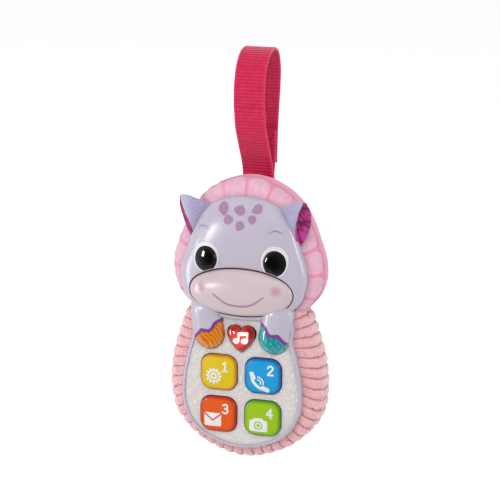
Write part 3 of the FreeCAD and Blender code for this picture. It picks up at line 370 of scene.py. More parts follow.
def circle(x, z, radius, count=40, tall=None):
    """A closed circle, or an ellipse where tall gives half its height."""
    angles = np.linspace(0, 2 * math.pi, count, endpoint=False)
    return np.column_stack([x + radius * np.sin(angles), z + (tall or radius) * np.cos(angles)])


def stroke(line, width, count=40, taper=0.0):
    """Closed outline of a brush line with round ends."""
    path = smooth(line, count) if len(line) > 2 else np.linspace(line[0], line[-1], count)
    side = normals_2d(path, closed=False)
    along = np.linspace(-1, 1, count)
    half = width / 2 * (1 - taper * along**2)
    ends = []
    for tip, before, radius in ((path[-1], path[-2], half[-1]), (path[0], path[1], half[0])):
        direction = tip - before
        turn = math.atan2(direction[1], direction[0]) + np.linspace(math.pi / 2, -math.pi / 2, 9)[1:-1]
        ends.append(tip + radius * np.column_stack([np.cos(turn), np.sin(turn)]))
    left = path + side * half[:, None]
    right = path - side * half[:, None]
    return np.vstack([left, ends[0], right[::-1], ends[1]])


# ---- outlines, right halves as (x, z) ----

HEAD = [(0, 125.8), (11.5, 124.3), (21.3, 120.1), (28.7, 112.5), (33.4, 102.6), (36.3, 93.6), (39, 86),
        (40.8, 76.5), (38.9, 65.8), (35.4, 59.5), (29, 54.1), (18, 49.6), (0, 47.8)]
BODY = [(0, 56), (20, 55.5), (30, 52), (33.1, 46), (33.3, 42), (32.5, 35.7), (34.7, 28), (36.6, 20.3),
        (38.2, 12), (39, 3.6), (38.7, -6), (36.9, -13), (32.6, -20.7), (26, -27.1), (17.7, -31.2), (9, -33.8),
        (0, -34.9)]
HEAD_HUB = np.array([0, 84.0])
MUZZLE_HUB = np.array([0, 66.6])
MUZZLE_HALF = np.array([33.1, 15.1])
MUZZLE_SQUARE = 2.1
EYES = {"left": -22.3, "right": 21.9}

# Points round an outline, and the depth of the joint between the casing's halves.
AROUND = 240
CASING_PARTING = 16.95
head_loop = smooth(mirrored(HEAD), AROUND, closed=True)
body_loop = smooth(mirrored(BODY), AROUND, closed=True)


def around(loop, hub):
    """Angle and radius of a loop about a point, for looking up its radius."""
    away = loop - hub
    angle = np.arctan2(away[:, 0], away[:, 1])
    order = np.argsort(angle)
    angle, radius = angle[order], np.hypot(*away.T)[order]
    return (np.concatenate([angle - 2 * math.pi, angle, angle + 2 * math.pi]), np.tile(radius, 3))


def polar(x, z, hub, reach):
    """A point's angle about a hub, and its share of the way from there to the outline, at most 1."""
    dx, dz = x - hub[0], z - hub[1]
    angle = np.arctan2(dx, dz)
    return angle, np.clip(np.hypot(dx, dz) / np.interp(angle, *reach), 0, 1)


HEAD_REACH = around(head_loop, HEAD_HUB)
# The head's edge lies deeper at the top than at the chin, and its front is flat with a rounded border.
HEAD_FRONT, HEAD_EDGE, HEAD_EDGE_TILT, HEAD_FLATNESS, HEAD_BORDER = -5.0, 3.4, 3.2, 4.2, 2.3


def head_depth(x, z):
    """Depth of the head's domed front: full in the middle and rolling back at its edge."""
    angle, share = polar(x, z, HEAD_HUB, HEAD_REACH)
    edge = HEAD_EDGE + HEAD_EDGE_TILT * np.cos(angle)
    full = (1 - share**HEAD_FLATNESS) ** (1 / HEAD_BORDER)
    return edge - (edge - HEAD_FRONT) * full


def muzzle_share(x, z):
    wide, tall = np.abs(x / MUZZLE_HALF[0]), np.abs((z - MUZZLE_HUB[1]) / MUZZLE_HALF[1])
    return (wide**MUZZLE_SQUARE + tall**MUZZLE_SQUARE) ** (1 / MUZZLE_SQUARE)


MUZZLE_RIM, MUZZLE_FRONT = -2.4, -9.2


def muzzle_depth(x, z):
    share = np.clip(muzzle_share(x, z), 0, 1)
    return MUZZLE_RIM - (MUZZLE_RIM - MUZZLE_FRONT) * np.clip(1 - share**2.3, 0, 1) ** 0.5


def domed(rim, hub, surface, start, count):
    """Rings from an outline to its hub on a domed surface, and the share of the way out of each."""
    shares = np.cos(np.linspace(start, math.pi / 2, count))
    loops = [hub + (rim - hub) * share for share in shares]
    return [at_depth(loop, surface(*loop.T)) for loop in loops], [*shares]


# ---- finishes ----

LILAC = (199, 191, 207)
lilac_shell = plastic("lilac_shell", LILAC, 0.26, Coat_Weight=0.3, Coat_Roughness=0.18)
muzzle_plastic = plastic("blush_plastic", (214, 196, 200), 0.28, Coat_Weight=0.2, Coat_Roughness=0.18)
white_plastic = plastic("white_plastic", (231, 229, 235), 0.26)
eye_black = plastic("black_gloss", (4, 4, 5), 0.06, Specular_IOR_Level=0.2)
mauve_print = plastic("mauve_print", (174, 140, 176), 0.25)
brow_print = plastic("brow_print", (166, 138, 172), 0.3)
rose_print = plastic("rose_print", (184, 136, 160), 0.3)
blush_print = Finish("blush_print", (204, 164, 186), 0.22)
paler = blush_print.ramp(blush_print.share(), 0.35, 1.0)
blush_print.paint(paler, (202, 158, 182), (212, 193, 198))
parting_shade = plastic("parting_shade", (92, 44, 66), 0.6)

# ---- head ----


def ellipse_loop(grow):
    """The muzzle's edge, grown, starting at the top and running clockwise, evenly spaced."""
    angles = np.linspace(0, 2 * math.pi, 361)[:-1]
    power = 2 / MUZZLE_SQUARE
    x = (MUZZLE_HALF[0] + grow) * np.sign(np.sin(angles)) * np.abs(np.sin(angles)) ** power
    z = MUZZLE_HUB[1] + (MUZZLE_HALF[1] + grow) * np.sign(np.cos(angles)) * np.abs(np.cos(angles)) ** power
    return smooth(np.column_stack([x, z]), AROUND, closed=True)


def on_head(ring, inward=0.0):
    return at_depth(ring, head_depth(*ring.T) + inward)


# The shell turns in at the muzzle's hole and back at its edge; rings across the face crowd towards the edge.
hole, brim = ellipse_loop(0.62), ellipse_loop(0.7)
head_rows = [on_head(hole, inward) for inward in (2.0, 0.5, 0.12)]
head_rows += [on_head(brim + (head_loop - brim) * share) for share in 1 - (1 - np.linspace(0, 1, 64)) ** 2.2]
head_rows += [at_depth(head_loop, depth) for depth in (7.5, 10.0, 13.0, CASING_PARTING)]
head = grid("head_shell", head_rows, lilac_shell, "casing", wrap=True)

# A dark strip in the gap round the muzzle: painted shade along the parting line.
gap_rows = [on_head(ellipse_loop(grow), inward) for grow, inward in ((-0.6, 0.75), (0, 0.55), (0.64, 0.55))]
grid("muzzle_parting_shade", gap_rows, parting_shade, "casing", wrap=True)

# The body's rim, rolled over the edge of the key panel.
body_out = normals_2d(body_loop)
rim_section = [(2.5, 1.0), (2.48, 0.0), (2.35, -0.45), (2.0, -0.75), (1.5, -0.8), (1.0, -0.5), (0.5, 0.1),
               (0.2, 1.0), (0.02, 2.2), (0, 4.0), (0, 8.0), (0, CASING_PARTING)]
rim_rows = [at_depth(body_loop - body_out * inset, depth) for inset, depth in rim_section]
grid("body_shell", rim_rows, lilac_shell, "casing", wrap=True)
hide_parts("front_shell")

# Muzzle cap.
cap_rim = ellipse_loop(-0.02)
cap_side = [at_depth(cap_rim, MUZZLE_RIM + back) for back in (4.6, 1.2, 0.0)]
cap_dome, _ = domed(cap_rim, MUZZLE_HUB, muzzle_depth, 0.06, 36)
muzzle = grid("muzzle_cap", cap_side + cap_dome, muzzle_plastic, "muzzle", wrap=True)
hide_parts("muzzle")

EYE_HEIGHT = 86.6
EYE_STAND, EYE_LEAN, EYE_ARC = 3.7, 2.2, math.radians(53)
# Half the width and height of each eye's black cap and of the white round it, which sits a little higher.
EYE_BALL, EYE_WHITE, EYE_WHITE_UP, EYE_AROUND = (7.35, 8.05), (8.6, 9.9), 0.9, 72
eye_balls = []


def clear_of_muzzle(loop):
    """The loop with what would lie on the muzzle moved up to its parting line."""
    share = muzzle_share(*loop.T)
    grown = 1 + 0.85 / MUZZLE_HALF[1]
    push = np.where(share < grown, grown / np.maximum(share, 0.2), 1.0)[:, None]
    return MUZZLE_HUB + (loop - MUZZLE_HUB) * push


for side, x in EYES.items():
    lean = -math.copysign(EYE_LEAN, x)
    white = clear_of_muzzle(circle(x, EYE_HEIGHT + EYE_WHITE_UP, EYE_WHITE[0], EYE_AROUND, EYE_WHITE[1]))
    eye_ring = draped(f"eye_white_{side}", [[white]], head_depth, white_plastic, "casing",
                      lift=0.25, spacing=1.0, sink=0.3)
    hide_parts(f"eye_ring_{side}")
    eye_rows = []
    rim = clear_of_muzzle(circle(x, EYE_HEIGHT, EYE_BALL[0], EYE_AROUND, EYE_BALL[1]))
    for turn in np.linspace(EYE_ARC, 0, 26):
        rise = (math.cos(turn) - math.cos(EYE_ARC)) / (1 - math.cos(EYE_ARC))
        loop = (rim - (x, EYE_HEIGHT)) * math.sin(turn) / math.sin(EYE_ARC) + (x + lean * rise, EYE_HEIGHT)
        depth = head_depth(*rim.T) * (1 - rise) + head_depth(x, EYE_HEIGHT) * rise - 0.2 - EYE_STAND * rise
        eye_rows.append(at_depth(loop, depth))
    eye = grid(f"eye_ball_{side}", eye_rows, eye_black, "casing", wrap=True)
    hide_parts(f"eye_{side}")
    eye_balls.append(eye)


# ---- printed face ----

SPOTS = [(-12.0, 118.4, 3.2, 3.9, 12), (-1.2, 117.9, 3.6, 3.0, -15), (9.7, 119.0, 3.3, 2.9, 30),
         (-8.3, 111.8, 3.1, 2.9, 15), (-0.7, 108.6, 2.8, 3.1, -25), (7.0, 112.9, 2.6, 2.7, 0)]
BROWS = {"left": [(-29.2, 104.2), (-25.0, 106.9), (-19.6, 104.9)],
         "right": [(17.2, 104.8), (21.8, 106.8), (26.6, 104.9)]}


def blob(x, z, wide, tall, turn, uneven=0.06):
    """A slightly squared, uneven round spot."""
    angles = np.linspace(0, 2 * math.pi, 36, endpoint=False)
    reach = 1 + uneven * np.sin(3 * angles + turn) + uneven * 0.6 * np.cos(4 * angles)
    c, s = math.cos(math.radians(turn)), math.sin(math.radians(turn))
    dx, dz = wide * np.cos(angles) * reach, tall * np.sin(angles) * reach
    return np.column_stack([x + dx * c - dz * s, z + dx * s + dz * c])


for number, (x, z, wide, tall, turn) in enumerate(SPOTS, 1):
    spot = blob(x, z, wide, tall, turn)
    draped(f"forehead_spot_{number}", [[spot]], head_depth, mauve_print, "casing")
for side, line in BROWS.items():
    draped(f"brow_{side}", [[stroke(line, 0.8, 24, 0.7)]], head_depth, brow_print, "casing")
smile = [(-16.3, 65.4), (-8.4, 60.2), (0, 58.8), (8.2, 60.2), (15.8, 65.4)]
draped("smile", [[stroke(smile, 1.25, 48, 0.25)]], muzzle_depth, rose_print, "muzzle")
for side, x, z, radius in (("left", -24.7, 68.8, 3.6), ("right", 23.7, 69.6, 4.0)):
    cheek = circle(x, z, radius, 40)
    blush = draped(f"blush_{side}", [[cheek]], muzzle_depth, blush_print, "muzzle")
    away = [math.dist((v.co - MIDDLE).xz / MM, (x, z)) / radius for v in blush.data.vertices]
    share_map(blush, [(share, 0) for share in away])

# ---- arms and paws ----

PAW = np.array([20.9, 38.0])
SHOULDER = np.array([23.2, 52.0])
ARM_RADIUS, ARM_STAND = 10.1, 5.4
CUFF = [(10.6, 10.2), (7.0, 9.2), (4.6, 7.6), (3.2, 4.9), (1.4, 3.0), (-1.4, 2.9), (-3.6, 3.2), (-5.6, 1.2),
        (-8.0, -1.6), (-10.6, -1.9)]


def arm_depth(x, z):
    """Depth of the rounded arm that ends in the paw, for the right-hand side."""
    x = np.abs(x)
    axis = SHOULDER - PAW
    along = np.clip(((x - PAW[0]) * axis[0] + (z - PAW[1]) * axis[1]) / (axis @ axis), 0, 1)
    off = np.hypot(x - PAW[0] - along * axis[0], z - PAW[1] - along * axis[1])
    full = np.clip(1 - (np.clip(off / ARM_RADIUS, 0, 1)) ** 2.3, 0, 1) ** 0.5
    return 0.5 - (ARM_STAND + 0.5) * full


def arm_outline():
    """The right arm's outline: an arc below the paw and one above the shoulder."""
    arcs = ((PAW, -1, np.linspace(-1.75, 1.75, 60)), (SHOULDER, 1, np.linspace(1.4, -1.4, 30)))
    return np.vstack([centre + ARM_RADIUS * np.column_stack([np.sin(turn), up * np.cos(turn)])
                      for centre, up, turn in arcs])


def cut_by(loop, line, keep_below):
    """The part of a closed loop on one side of an open line that crosses it twice."""
    sides = []
    for p in loop:
        nearest = np.argmin(np.hypot(*(line - p).T))
        a, b = line[max(nearest - 1, 0)], line[min(nearest + 1, len(line) - 1)]
        cross = (b[0] - a[0]) * (p[1] - a[1]) - (b[1] - a[1]) * (p[0] - a[0])
        sides.append(cross > 0)
    sides = np.array(sides) == keep_below
    first = next(k for k in range(len(loop)) if sides[k] and not sides[k - 1])
    run = []
    while sides[(first + len(run)) % len(loop)]:
        run.append(loop[(first + len(run)) % len(loop)])
    inner = line[inside(line, loop)]
    if np.hypot(*(inner[0] - run[-1])) > np.hypot(*(inner[-1] - run[-1])):
        inner = inner[::-1]
    return np.vstack([run, inner])


# The Wave texture's scale for one wave in each unit of length.
WAVE_PER_METRE = 0.314
amber = plastic("amber_plastic", (222, 142, 34), 0.14, Coat_Weight=0.6, Coat_Roughness=0.04)
stripes = amber.node("TexWave", {"bands_direction": "DIAGONAL"}, Vector=amber.where(),
                     Scale=WAVE_PER_METRE / (1.9 * MM), Distortion=5.0, Detail=2.0, Detail_Scale=1.2)
banded = amber.ramp(stripes.outputs["Fac"], 0.35, 0.95)
amber.paint(banded, (226, 146, 30), (204, 102, 8))
teal = plastic("teal_plastic", (40, 156, 162), 0.14, Coat_Weight=0.6, Coat_Roughness=0.04)
cells = teal.node("TexVoronoi", {"feature": "DISTANCE_TO_EDGE"}, Vector=teal.where(), Scale=1 / (4.4 * MM))
clear = teal.ramp(cells.outputs["Distance"], 0.02, 0.26)
teal.paint(clear, (18, 142, 146), (72, 182, 186))
cuff_purple = plastic("cuff_purple", (140, 62, 150), 0.3)

cuff_line = smooth([(PAW[0] - dx, PAW[1] + dz) for dx, dz in CUFF], 60)
for sign, side, colour, word in ((-1, "left", amber, "amber"), (1, "right", teal, "teal")):
    paw_loop, arm_loop = (cut_by(arm_outline(), cuff_line, above) * (sign, 1) for above in (False, True))
    paw = draped(f"paw_{side}_skin", [[paw_loop]], arm_depth, colour, "casing", lift=0,
                 spacing=0.7, sink=0.6)
    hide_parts(f"paw_{side}")
    draped(f"arm_{side}_skin", [[arm_loop]], arm_depth, lilac_shell, "casing", lift=0,
           spacing=0.7, sink=5.0)
    band = stroke([(x * sign, z) for x, z in cuff_line[4:-4:5]], 1.9, 60)
    draped(f"cuff_{side}", [[band]], arm_depth, cuff_purple, "casing", lift=0.22, spacing=0.6,
           sink=0.4)

panel_print = Finish("printed_panel", (214, 208, 206), 0.3, Coat_Weight=0.3, Coat_Roughness=0.1)
flecks = panel_print.node("TexVoronoi", Vector=panel_print.where(), Scale=1 / (0.95 * MM))
tint = panel_print.node("HueSaturation", Color=flecks.outputs["Color"], Saturation=0.9, Value=0.85)
picked = panel_print.times(panel_print.ramp(panel_print.noise(0.9, 1), 0.50, 0.60), 0.34)
panel_print.paint(picked, (220, 213, 211), tint.outputs["Color"])
panel_print.bump(panel_print.noise(1.0, 2), 0.02)
PANEL_BACKING = 0.14


def panel_backing(x, _):
    return np.full_like(x, PANEL_BACKING)


border = [body_loop - body_out * inset for inset in (2.0, 5.5)]
draped("panel_border", [border], panel_backing, panel_print, "casing", lift=0, spacing=1.5)
top = [(-26, 44.5), (26, 44.5), (26, 57), (-26, 57)]
draped("panel_top", [[top]], panel_backing, panel_print, "casing", lift=0.03, spacing=2.0)

# ---- keys ----

KEY_WIDTH, KEY_TALL, KEY_CORNER, KEY_EDGE = 23.7, 22.7, 7.0, 1.7
KEY_TOP, KEY_DOME = -2.1, 0.75


def rounded(width, tall, corner):
    """A rectangle with round corners about the origin, evenly spaced from the top's middle."""
    w, h = width / 2 - corner, tall / 2 - corner
    turns = np.linspace(0, math.pi / 2, 10)
    loop = []
    for cx, cz, start in ((w, h, 0), (w, -h, 1), (-w, -h, 2), (-w, h, 3)):
        angles = turns + start * math.pi / 2
        loop += list(zip(cx + corner * np.sin(angles), cz + corner * np.cos(angles)))
    return evenly(np.array([*loop, loop[0]]), 96, closed=True)


def key_cap(number, centre, finish):
    """A key with rolled edges and a slightly domed top."""
    rows = [(0.0, depth) for depth in (3.0, 1.0, KEY_TOP + KEY_EDGE)]
    rows += [(KEY_EDGE * (1 - math.cos(a)), KEY_TOP + KEY_EDGE * (1 - math.sin(a)))
             for a in np.linspace(0.15, math.pi / 2, 8)]
    points, shares = [], []
    for inset, depth in rows:
        loop = rounded(KEY_WIDTH - 2 * inset, KEY_TALL - 2 * inset, KEY_CORNER - inset) + centre
        points.append(at_depth(loop, depth))
        shares.append(1.25 - 0.25 * inset / KEY_EDGE)
    top = points[-1][:, [0, 2]] - centre
    for share in np.cos(np.linspace(0.25, math.pi / 2, 12)):
        points.append(at_depth(top * share + centre, KEY_TOP - KEY_DOME * (1 - share**2)))
        shares.append(share)
    cap = grid(f"key_cap_{number}", points, finish, f"key_{number}", wrap=True)
    share_map(cap, [(share, 0) for share in shares for _ in top])
    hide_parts(f"key_{number}")


def key_surface(centre):
    """Depth of a key's domed top, from how near its rim a point is."""
    rim = rounded(KEY_WIDTH - 2 * KEY_EDGE, KEY_TALL - 2 * KEY_EDGE, KEY_CORNER - KEY_EDGE)
    reach = around(rim, np.zeros(2))
    return lambda x, z: KEY_TOP - KEY_DOME * (1 - polar(x, z, centre, reach)[1] ** 2)


def moved(loops, x, z, scale=1.0):
    """A shape's loops scaled about the origin and then moved."""
    return [np.array(loop, float) * scale + (x, z) for loop in loops]


def gear_icon():
    teeth = []
    for tooth in range(12):
        middle = tooth * math.pi / 6
        for turn, radius in ((-0.15, 4.15), (-0.10, 5.35), (0.10, 5.35), (0.15, 4.15)):
            teeth.append((radius * math.sin(middle + turn), radius * math.cos(middle + turn)))
    return [[teeth, circle(0, 0, 3.1, 30)], [circle(0, 0, 2.35, 30), circle(0, 0, 1.0, 18)]]


def handset_icon():
    grip = stroke([(-5.0, 3.4), (-4.5, 0.2), (-2.4, -2.6), (0.6, -4.6), (3.8, -5.2)], 1.9, 32)
    ear = stroke([(-5.2, 4.3), (-4.0, 1.9)], 3.0, 8)
    mouth = stroke([(2.3, -4.4), (5.0, -5.5)], 3.0, 8)
    arcs = [[(r * math.cos(a) - 1.6, r * math.sin(a) - 1.4) for a in np.linspace(-0.15, 1.45, 9)]
            for r in (2.4, 4.1)]
    return [[grip], [ear], [mouth], *[[stroke(arc, 0.8, 16)] for arc in arcs]]


def envelope_icon():
    body = [(-5.6, 3.2), (0, -1.3), (5.6, 3.2), (5.6, -3.7), (5.0, -4.4), (-5.0, -4.4), (-5.6, -3.7)]
    flap = [(-5.3, 4.3), (5.3, 4.3), (0, 0.0)]
    return [[body], [flap]]


def camera_icon():
    half = [(2.6, 4.4), (3.5, 3.1), (5.3, 2.9), (5.9, 2.1), (5.9, -3.7), (5.2, -4.5)]
    left = [(-x, z) for x, z in reversed(half)]
    body = [*left[2:], *half, *left[:2]]
    return [[body, circle(0, -0.5, 2.75, 30)], [circle(0, -0.5, 2.0, 26), circle(0, -0.5, 1.05, 18)]]


DIGITS = {
    1: [[(-1.1, 1.7), (0.25, 2.8)], [(0.25, 2.8), (0.25, -2.8)], [(-1.0, -2.8), (1.5, -2.8)]],
    2: [[(-1.6, 1.5), (-0.9, 2.6), (0.5, 2.8), (1.5, 1.8), (1.1, 0.3), (-0.6, -1.4), (-1.6, -2.6)],
        [(-1.5, -2.75), (1.7, -2.75)]],
    3: [[(-1.5, 2.2), (0.2, 2.8), (1.4, 1.9), (1.0, 0.5), (-0.2, 0.15)],
        [(-0.2, 0.15), (1.3, -0.3), (1.6, -1.6), (0.4, -2.8), (-1.6, -2.2)]],
    4: [[(0.7, 2.8), (-1.8, -0.9)], [(-1.8, -0.9), (1.9, -0.9)], [(0.8, 2.8), (0.8, -2.8)]],
}
# Each key: its material, its colour, the deeper colour of painted shade over its rolled edge, its icon, and
# where the icon and the digit sit.
KEYS = {
    1: ("yellow_key", (224, 196, 6), (206, 124, 10), gear_icon, (-2.8, -2.2), (4.3, 4.1)),
    2: ("blue_key", (10, 162, 220), (8, 84, 160), handset_icon, (-1.7, -2.9), (5.2, 4.3)),
    3: ("orange_key", (230, 100, 6), (184, 34, 10), envelope_icon, (-3.2, -3.3), (4.9, 4.0)),
    4: ("green_key", (160, 199, 30), (86, 144, 26), camera_icon, (-2.2, -4.0), (5.0, 3.8)),
}
ink_white = plastic("ink_white", (238, 238, 236), 0.3)

for number, (slot, colour, edge, icon, icon_at, digit_at) in KEYS.items():
    low, high = measured(f"key_{number}")
    centre = np.array([(low.x + high.x) / 2, (low.z + high.z) / 2])
    finish = plastic(slot, colour, 0.22, Coat_Weight=0.15, Coat_Roughness=0.05, Specular_IOR_Level=0.4)
    # Painted shade: the key's colour deepens over its rolled edge and sides.
    finish.paint(finish.ramp(finish.share(), 0.88, 1.25), colour, edge)
    key_cap(number, centre, finish)
    surface = key_surface(centre)
    shapes = [moved(loops, *(centre + icon_at)) for loops in icon()]
    draped(f"key_icon_{number}", shapes, surface, ink_white, f"key_{number}", lift=0.07)
    strokes = [[stroke(line, 1.15, 6 if len(line) == 2 else 30)] for line in DIGITS[number]]
    shapes = [moved(loops, *(centre + digit_at)) for loops in strokes]
    draped(f"key_digit_{number}", shapes, surface, ink_white, f"key_{number}", lift=0.075)

# ---- heart ----

HEART_HEIGHT, HEART_RIM, HEART_AROUND = 37.2, -0.9, 96


def heart_outline(grow=0.0):
    half = [(0, 6.1), (1.2, 7.2), (3.0, 8.0), (5.4, 7.9), (7.9, 6.3), (9.15, 3.4), (8.7, 0.1), (6.9, -3.4),
            (3.9, -6.9), (1.5, -8.9), (0, -9.3)]
    loop = smooth(mirrored(half), HEART_AROUND, closed=True)
    return loop + normals_2d(loop) * grow + (0, HEART_HEIGHT)


HEART_HUB = np.array([0.0, HEART_HEIGHT - 0.3])
HEART_REACH = around(heart_outline(), HEART_HUB)


def heart_depth(x, z):
    return HEART_RIM - 3.1 * (1 - polar(x, z, HEART_HUB, HEART_REACH)[1] ** 2.2) ** 0.55


heart_rim = heart_outline(-0.1)
heart_side = [at_depth(heart_rim, depth) for depth in (2.5, 0.5, HEART_RIM)]
heart_dome, dome_shares = domed(heart_rim, HEART_HUB, heart_depth, 0.08, 26)
heart_red = plastic("clear_red", (200, 34, 40), 0.08, Coat_Weight=0.8, Coat_Roughness=0.03)
# Painted light: the clear red dome is painted brighter in its middle and darker towards its edge, and glows a
# little, as if lit through; no lamp is in it.
painted_light = heart_red.plus(heart_red.share(), heart_red.times(heart_red.noise(2.2, 2), 0.5))
heart_red.paint(heart_red.ramp(painted_light, 0.55, 1.2), (232, 62, 60), (158, 14, 24))
painted_glow = heart_red.times(heart_red.ramp(painted_light, 1.15, 0.3), 0.5)
heart_red.set(Emission_Color=(1, 0.13, 0.11, 1), Emission_Strength=painted_glow)
heart = grid("heart_cap", heart_side + heart_dome, heart_red, "heart_button", wrap=True)
share_map(heart, [(share, 0) for share in [1.0] * len(heart_side) + dome_shares for _ in heart_rim])
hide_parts("heart_button")

# The white note glows with painted light; no lamp is behind it.
note_glow = Finish("note_glow", (255, 235, 232), 0.4, Emission_Color=(1, 0.80, 0.76, 1),
                   Emission_Strength=0.5)
note_shapes = [[blob(-3.0, -2.5, 2.25, 1.95, 12, 0.02)], [blob(2.8, -2.3, 2.35, 2.05, 12, 0.02)],
               [stroke([(-1.2, -2.4), (-1.2, 2.6)], 1.3, 8)], [stroke([(4.6, -2.3), (4.6, 2.8)], 1.3, 8)],
               [stroke([(-0.9, 2.4), (4.3, 2.8)], 2.4, 8)]]
note_shapes = [moved(loops, 0.3, HEART_HEIGHT + 0.6, 0.93) for loops in note_shapes]
draped("heart_note", note_shapes, heart_depth, note_glow, "heart_button", lift=0.08)

# ---- fabric ----


def plush(name, colour, groove_shade=None, pile=0.5):
    """Short pile: soft sheen, mottled pile direction and a fuzzy surface, with painted shade in any grooves.
    """
    finish = Finish(name, colour, 0.95, Sheen_Weight=0.45, Sheen_Roughness=0.5, Specular_IOR_Level=0.15)
    fibre = finish.node("TexNoise", Vector=finish.where(), Scale=1 / (pile * MM), Detail=4.0, Roughness=0.65)
    light = [min(255, c * 1.05 + 4) for c in colour]
    dark = [c * 0.9 for c in colour]
    base = finish.mix(finish.ramp(fibre.outputs["Fac"], 0.3, 0.7), dark, light)
    brushed = finish.ramp(finish.noise(9, 3), 0.35, 0.7)
    base = finish.mix(finish.times(brushed, 0.35), base, light)
    if groove_shade:
        # Painted shade: the grooves are darkened, as shade falls in them.
        base = finish.mix(groove_shade(finish), base, [c * f for c, f in zip(colour, (0.9, 0.68, 0.71))])
    finish.set(Base_Color=base)
    finish.bump(fibre.outputs["Fac"], 0.5, 0.9)
    return finish


def woven(finish, thread_mm):
    """Height of a plain weave, from the object's own coordinates."""
    wave = []
    for axis in ("X", "Z"):
        made = finish.node("TexWave", {"bands_direction": axis}, Vector=finish.where(),
                           Scale=WAVE_PER_METRE / (thread_mm * MM), Distortion=0.6, Detail=1.0)
        wave.append(made.outputs["Fac"])
    return finish.times(wave[0], wave[1])


# The sleeve follows the casing's outline from one side of the neck, under the keys, to the other.
SLEEVE = [(33.8, 57.6), (40.5, 47.6), (46.2, 31.5), (48.7, 21.9), (50.3, 6.5), (49, -7.6), (46.1, -15.7),
          (40.9, -22.9), (33, -30.3), (23.6, -36.2), (10.9, -40.9), (0, -42.5)]
CASING_SIDE = [(29.5, 55.5), (33.1, 46), (33.2, 42), *BODY[5:]]
RIBS, COLUMNS_PER_RIB, SLEEVE_SECTIONS = 38, 12, 72
RIB_HEIGHT, PLUSH_STAND = 2.3, 0.5
LEFT_WIDTH = 0.982
SLEEVE_FRONT, SLEEVE_BACK = 4.2, 30.8


def both_sides(half):
    """An open line down the right side and up the left, from its right half listed from the top."""
    return [*half, *[(-x, z) for x, z in reversed(half[:-1])]]


def swept_wall(inner, outer, front, back, sections, fullness, closing):
    """Rows of a padded wall that runs along two matched lines and bulges from inner out to outer.

    Over the closing share of its length each end narrows to nothing."""
    middle, half_depth = (front + back) / 2, (back - front) / 2
    near_end = np.linspace(0, 1, len(inner))
    near_end = np.clip(np.minimum(near_end, 1 - near_end) / closing, 0, 1)
    size = np.sqrt(1 - (1 - near_end) ** 2)[:, None]
    rows = []
    for turn in np.linspace(0, math.pi, sections):
        out = math.sin(turn) ** fullness
        line = inner + (outer - inner) * out * size
        reach = half_depth * math.copysign(abs(math.cos(turn)) ** fullness, math.cos(turn))
        rows.append(at_depth(line, middle - reach * (0.55 + 0.45 * size[:, 0])))
    return np.array(rows)


def surface_normals(rows):
    return unit(np.cross(np.gradient(rows, axis=1), np.gradient(rows, axis=0)))


sleeve_columns = RIBS * COLUMNS_PER_RIB + 1
inner = smooth(both_sides(CASING_SIDE), sleeve_columns)
outer = smooth(both_sides(SLEEVE), sleeve_columns)
outer += normals_2d(outer, closed=False) * PLUSH_STAND
outer[outer[:, 0] < 0, 0] *= LEFT_WIDTH
sleeve_rows = swept_wall(inner, outer, SLEEVE_FRONT, SLEEVE_BACK, SLEEVE_SECTIONS, 0.72, 0.004)
out = surface_normals(sleeve_rows)
if out[SLEEVE_SECTIONS // 2, sleeve_columns // 2, 2] > 0:
    out = -out
phase = np.linspace(0, RIBS, sleeve_columns)
sway = 0.10 * np.sin(np.linspace(0, 9 * math.pi, SLEEVE_SECTIONS))[:, None] * np.sin(phase * 1.7)[None, :]
crest = 1 - np.abs(2 * ((phase[None, :] + sway) % 1) - 1)
rounding = np.sqrt(np.clip(1 - (1 - crest) ** 2.3, 0, 1))
fade = np.clip(np.sin(np.linspace(0, math.pi, SLEEVE_SECTIONS)) * 2.2, 0.25, 1)[:, None]
fluff = np.array([[noise.noise(Vector(p) * 0.5) * 0.35 + noise.noise(Vector(p) * 1.5) * 0.3 for p in row]
                  for row in sleeve_rows])
sleeve_rows += out * ((rounding * RIB_HEIGHT - RIB_HEIGHT * 0.75) * fade + fluff)[:, :, None]


# Painted shade between the sleeve's ribs: a mask that is 1 in the grooves.
def rib_groove_shade(finish):
    across, _ = finish.uv()
    part = finish.math("FRACT", across)
    edge = finish.size_of(finish.minus(part, 0.5))
    return finish.ramp(edge, 0.36, 0.5)


salmon_plush = plush("ribbed_plush", (246, 188, 193), rib_groove_shade, pile=0.8)
sleeve = grid("sleeve_plush", sleeve_rows, salmon_plush, "casing")
share_map(sleeve, [(around_share, along_share) for along_share in np.linspace(0, 1, SLEEVE_SECTIONS)
                   for around_share in phase])
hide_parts("plush_sleeve")

# ---- hood ----

HOOD = [(0, 137.3), (10, 135.9), (19, 132.3), (28, 126.3), (34.6, 119.2), (39.8, 110.8), (44.3, 99.5),
        (48.2, 88.4), (49.6, 76.9), (48.2, 68.5), (44.3, 60.8), (38.2, 54.6), (33.5, 51.5)]
HEAD_SIDE = [(0, 125.2), (11.5, 123.6), (21, 119.4), (28.2, 111.9), (32.9, 102.1), (35.8, 93.2), (38.5, 85.7),
             (40.2, 76.4), (38.4, 66.0), (35.0, 59.9), (31, 56.5), (28.5, 54.5)]
PETALS = 14
HOOD_FRONT, HOOD_BACK = 5.6, 33.4
HOOD_SECTIONS, HOOD_COLUMNS = 41, 181
SEAM_SHARE = 0.37


def hoop(half):
    """An open line from the right side of the neck over the top to the left."""
    return [*reversed(half), *[(-x, z) for x, z in half[1:]]]


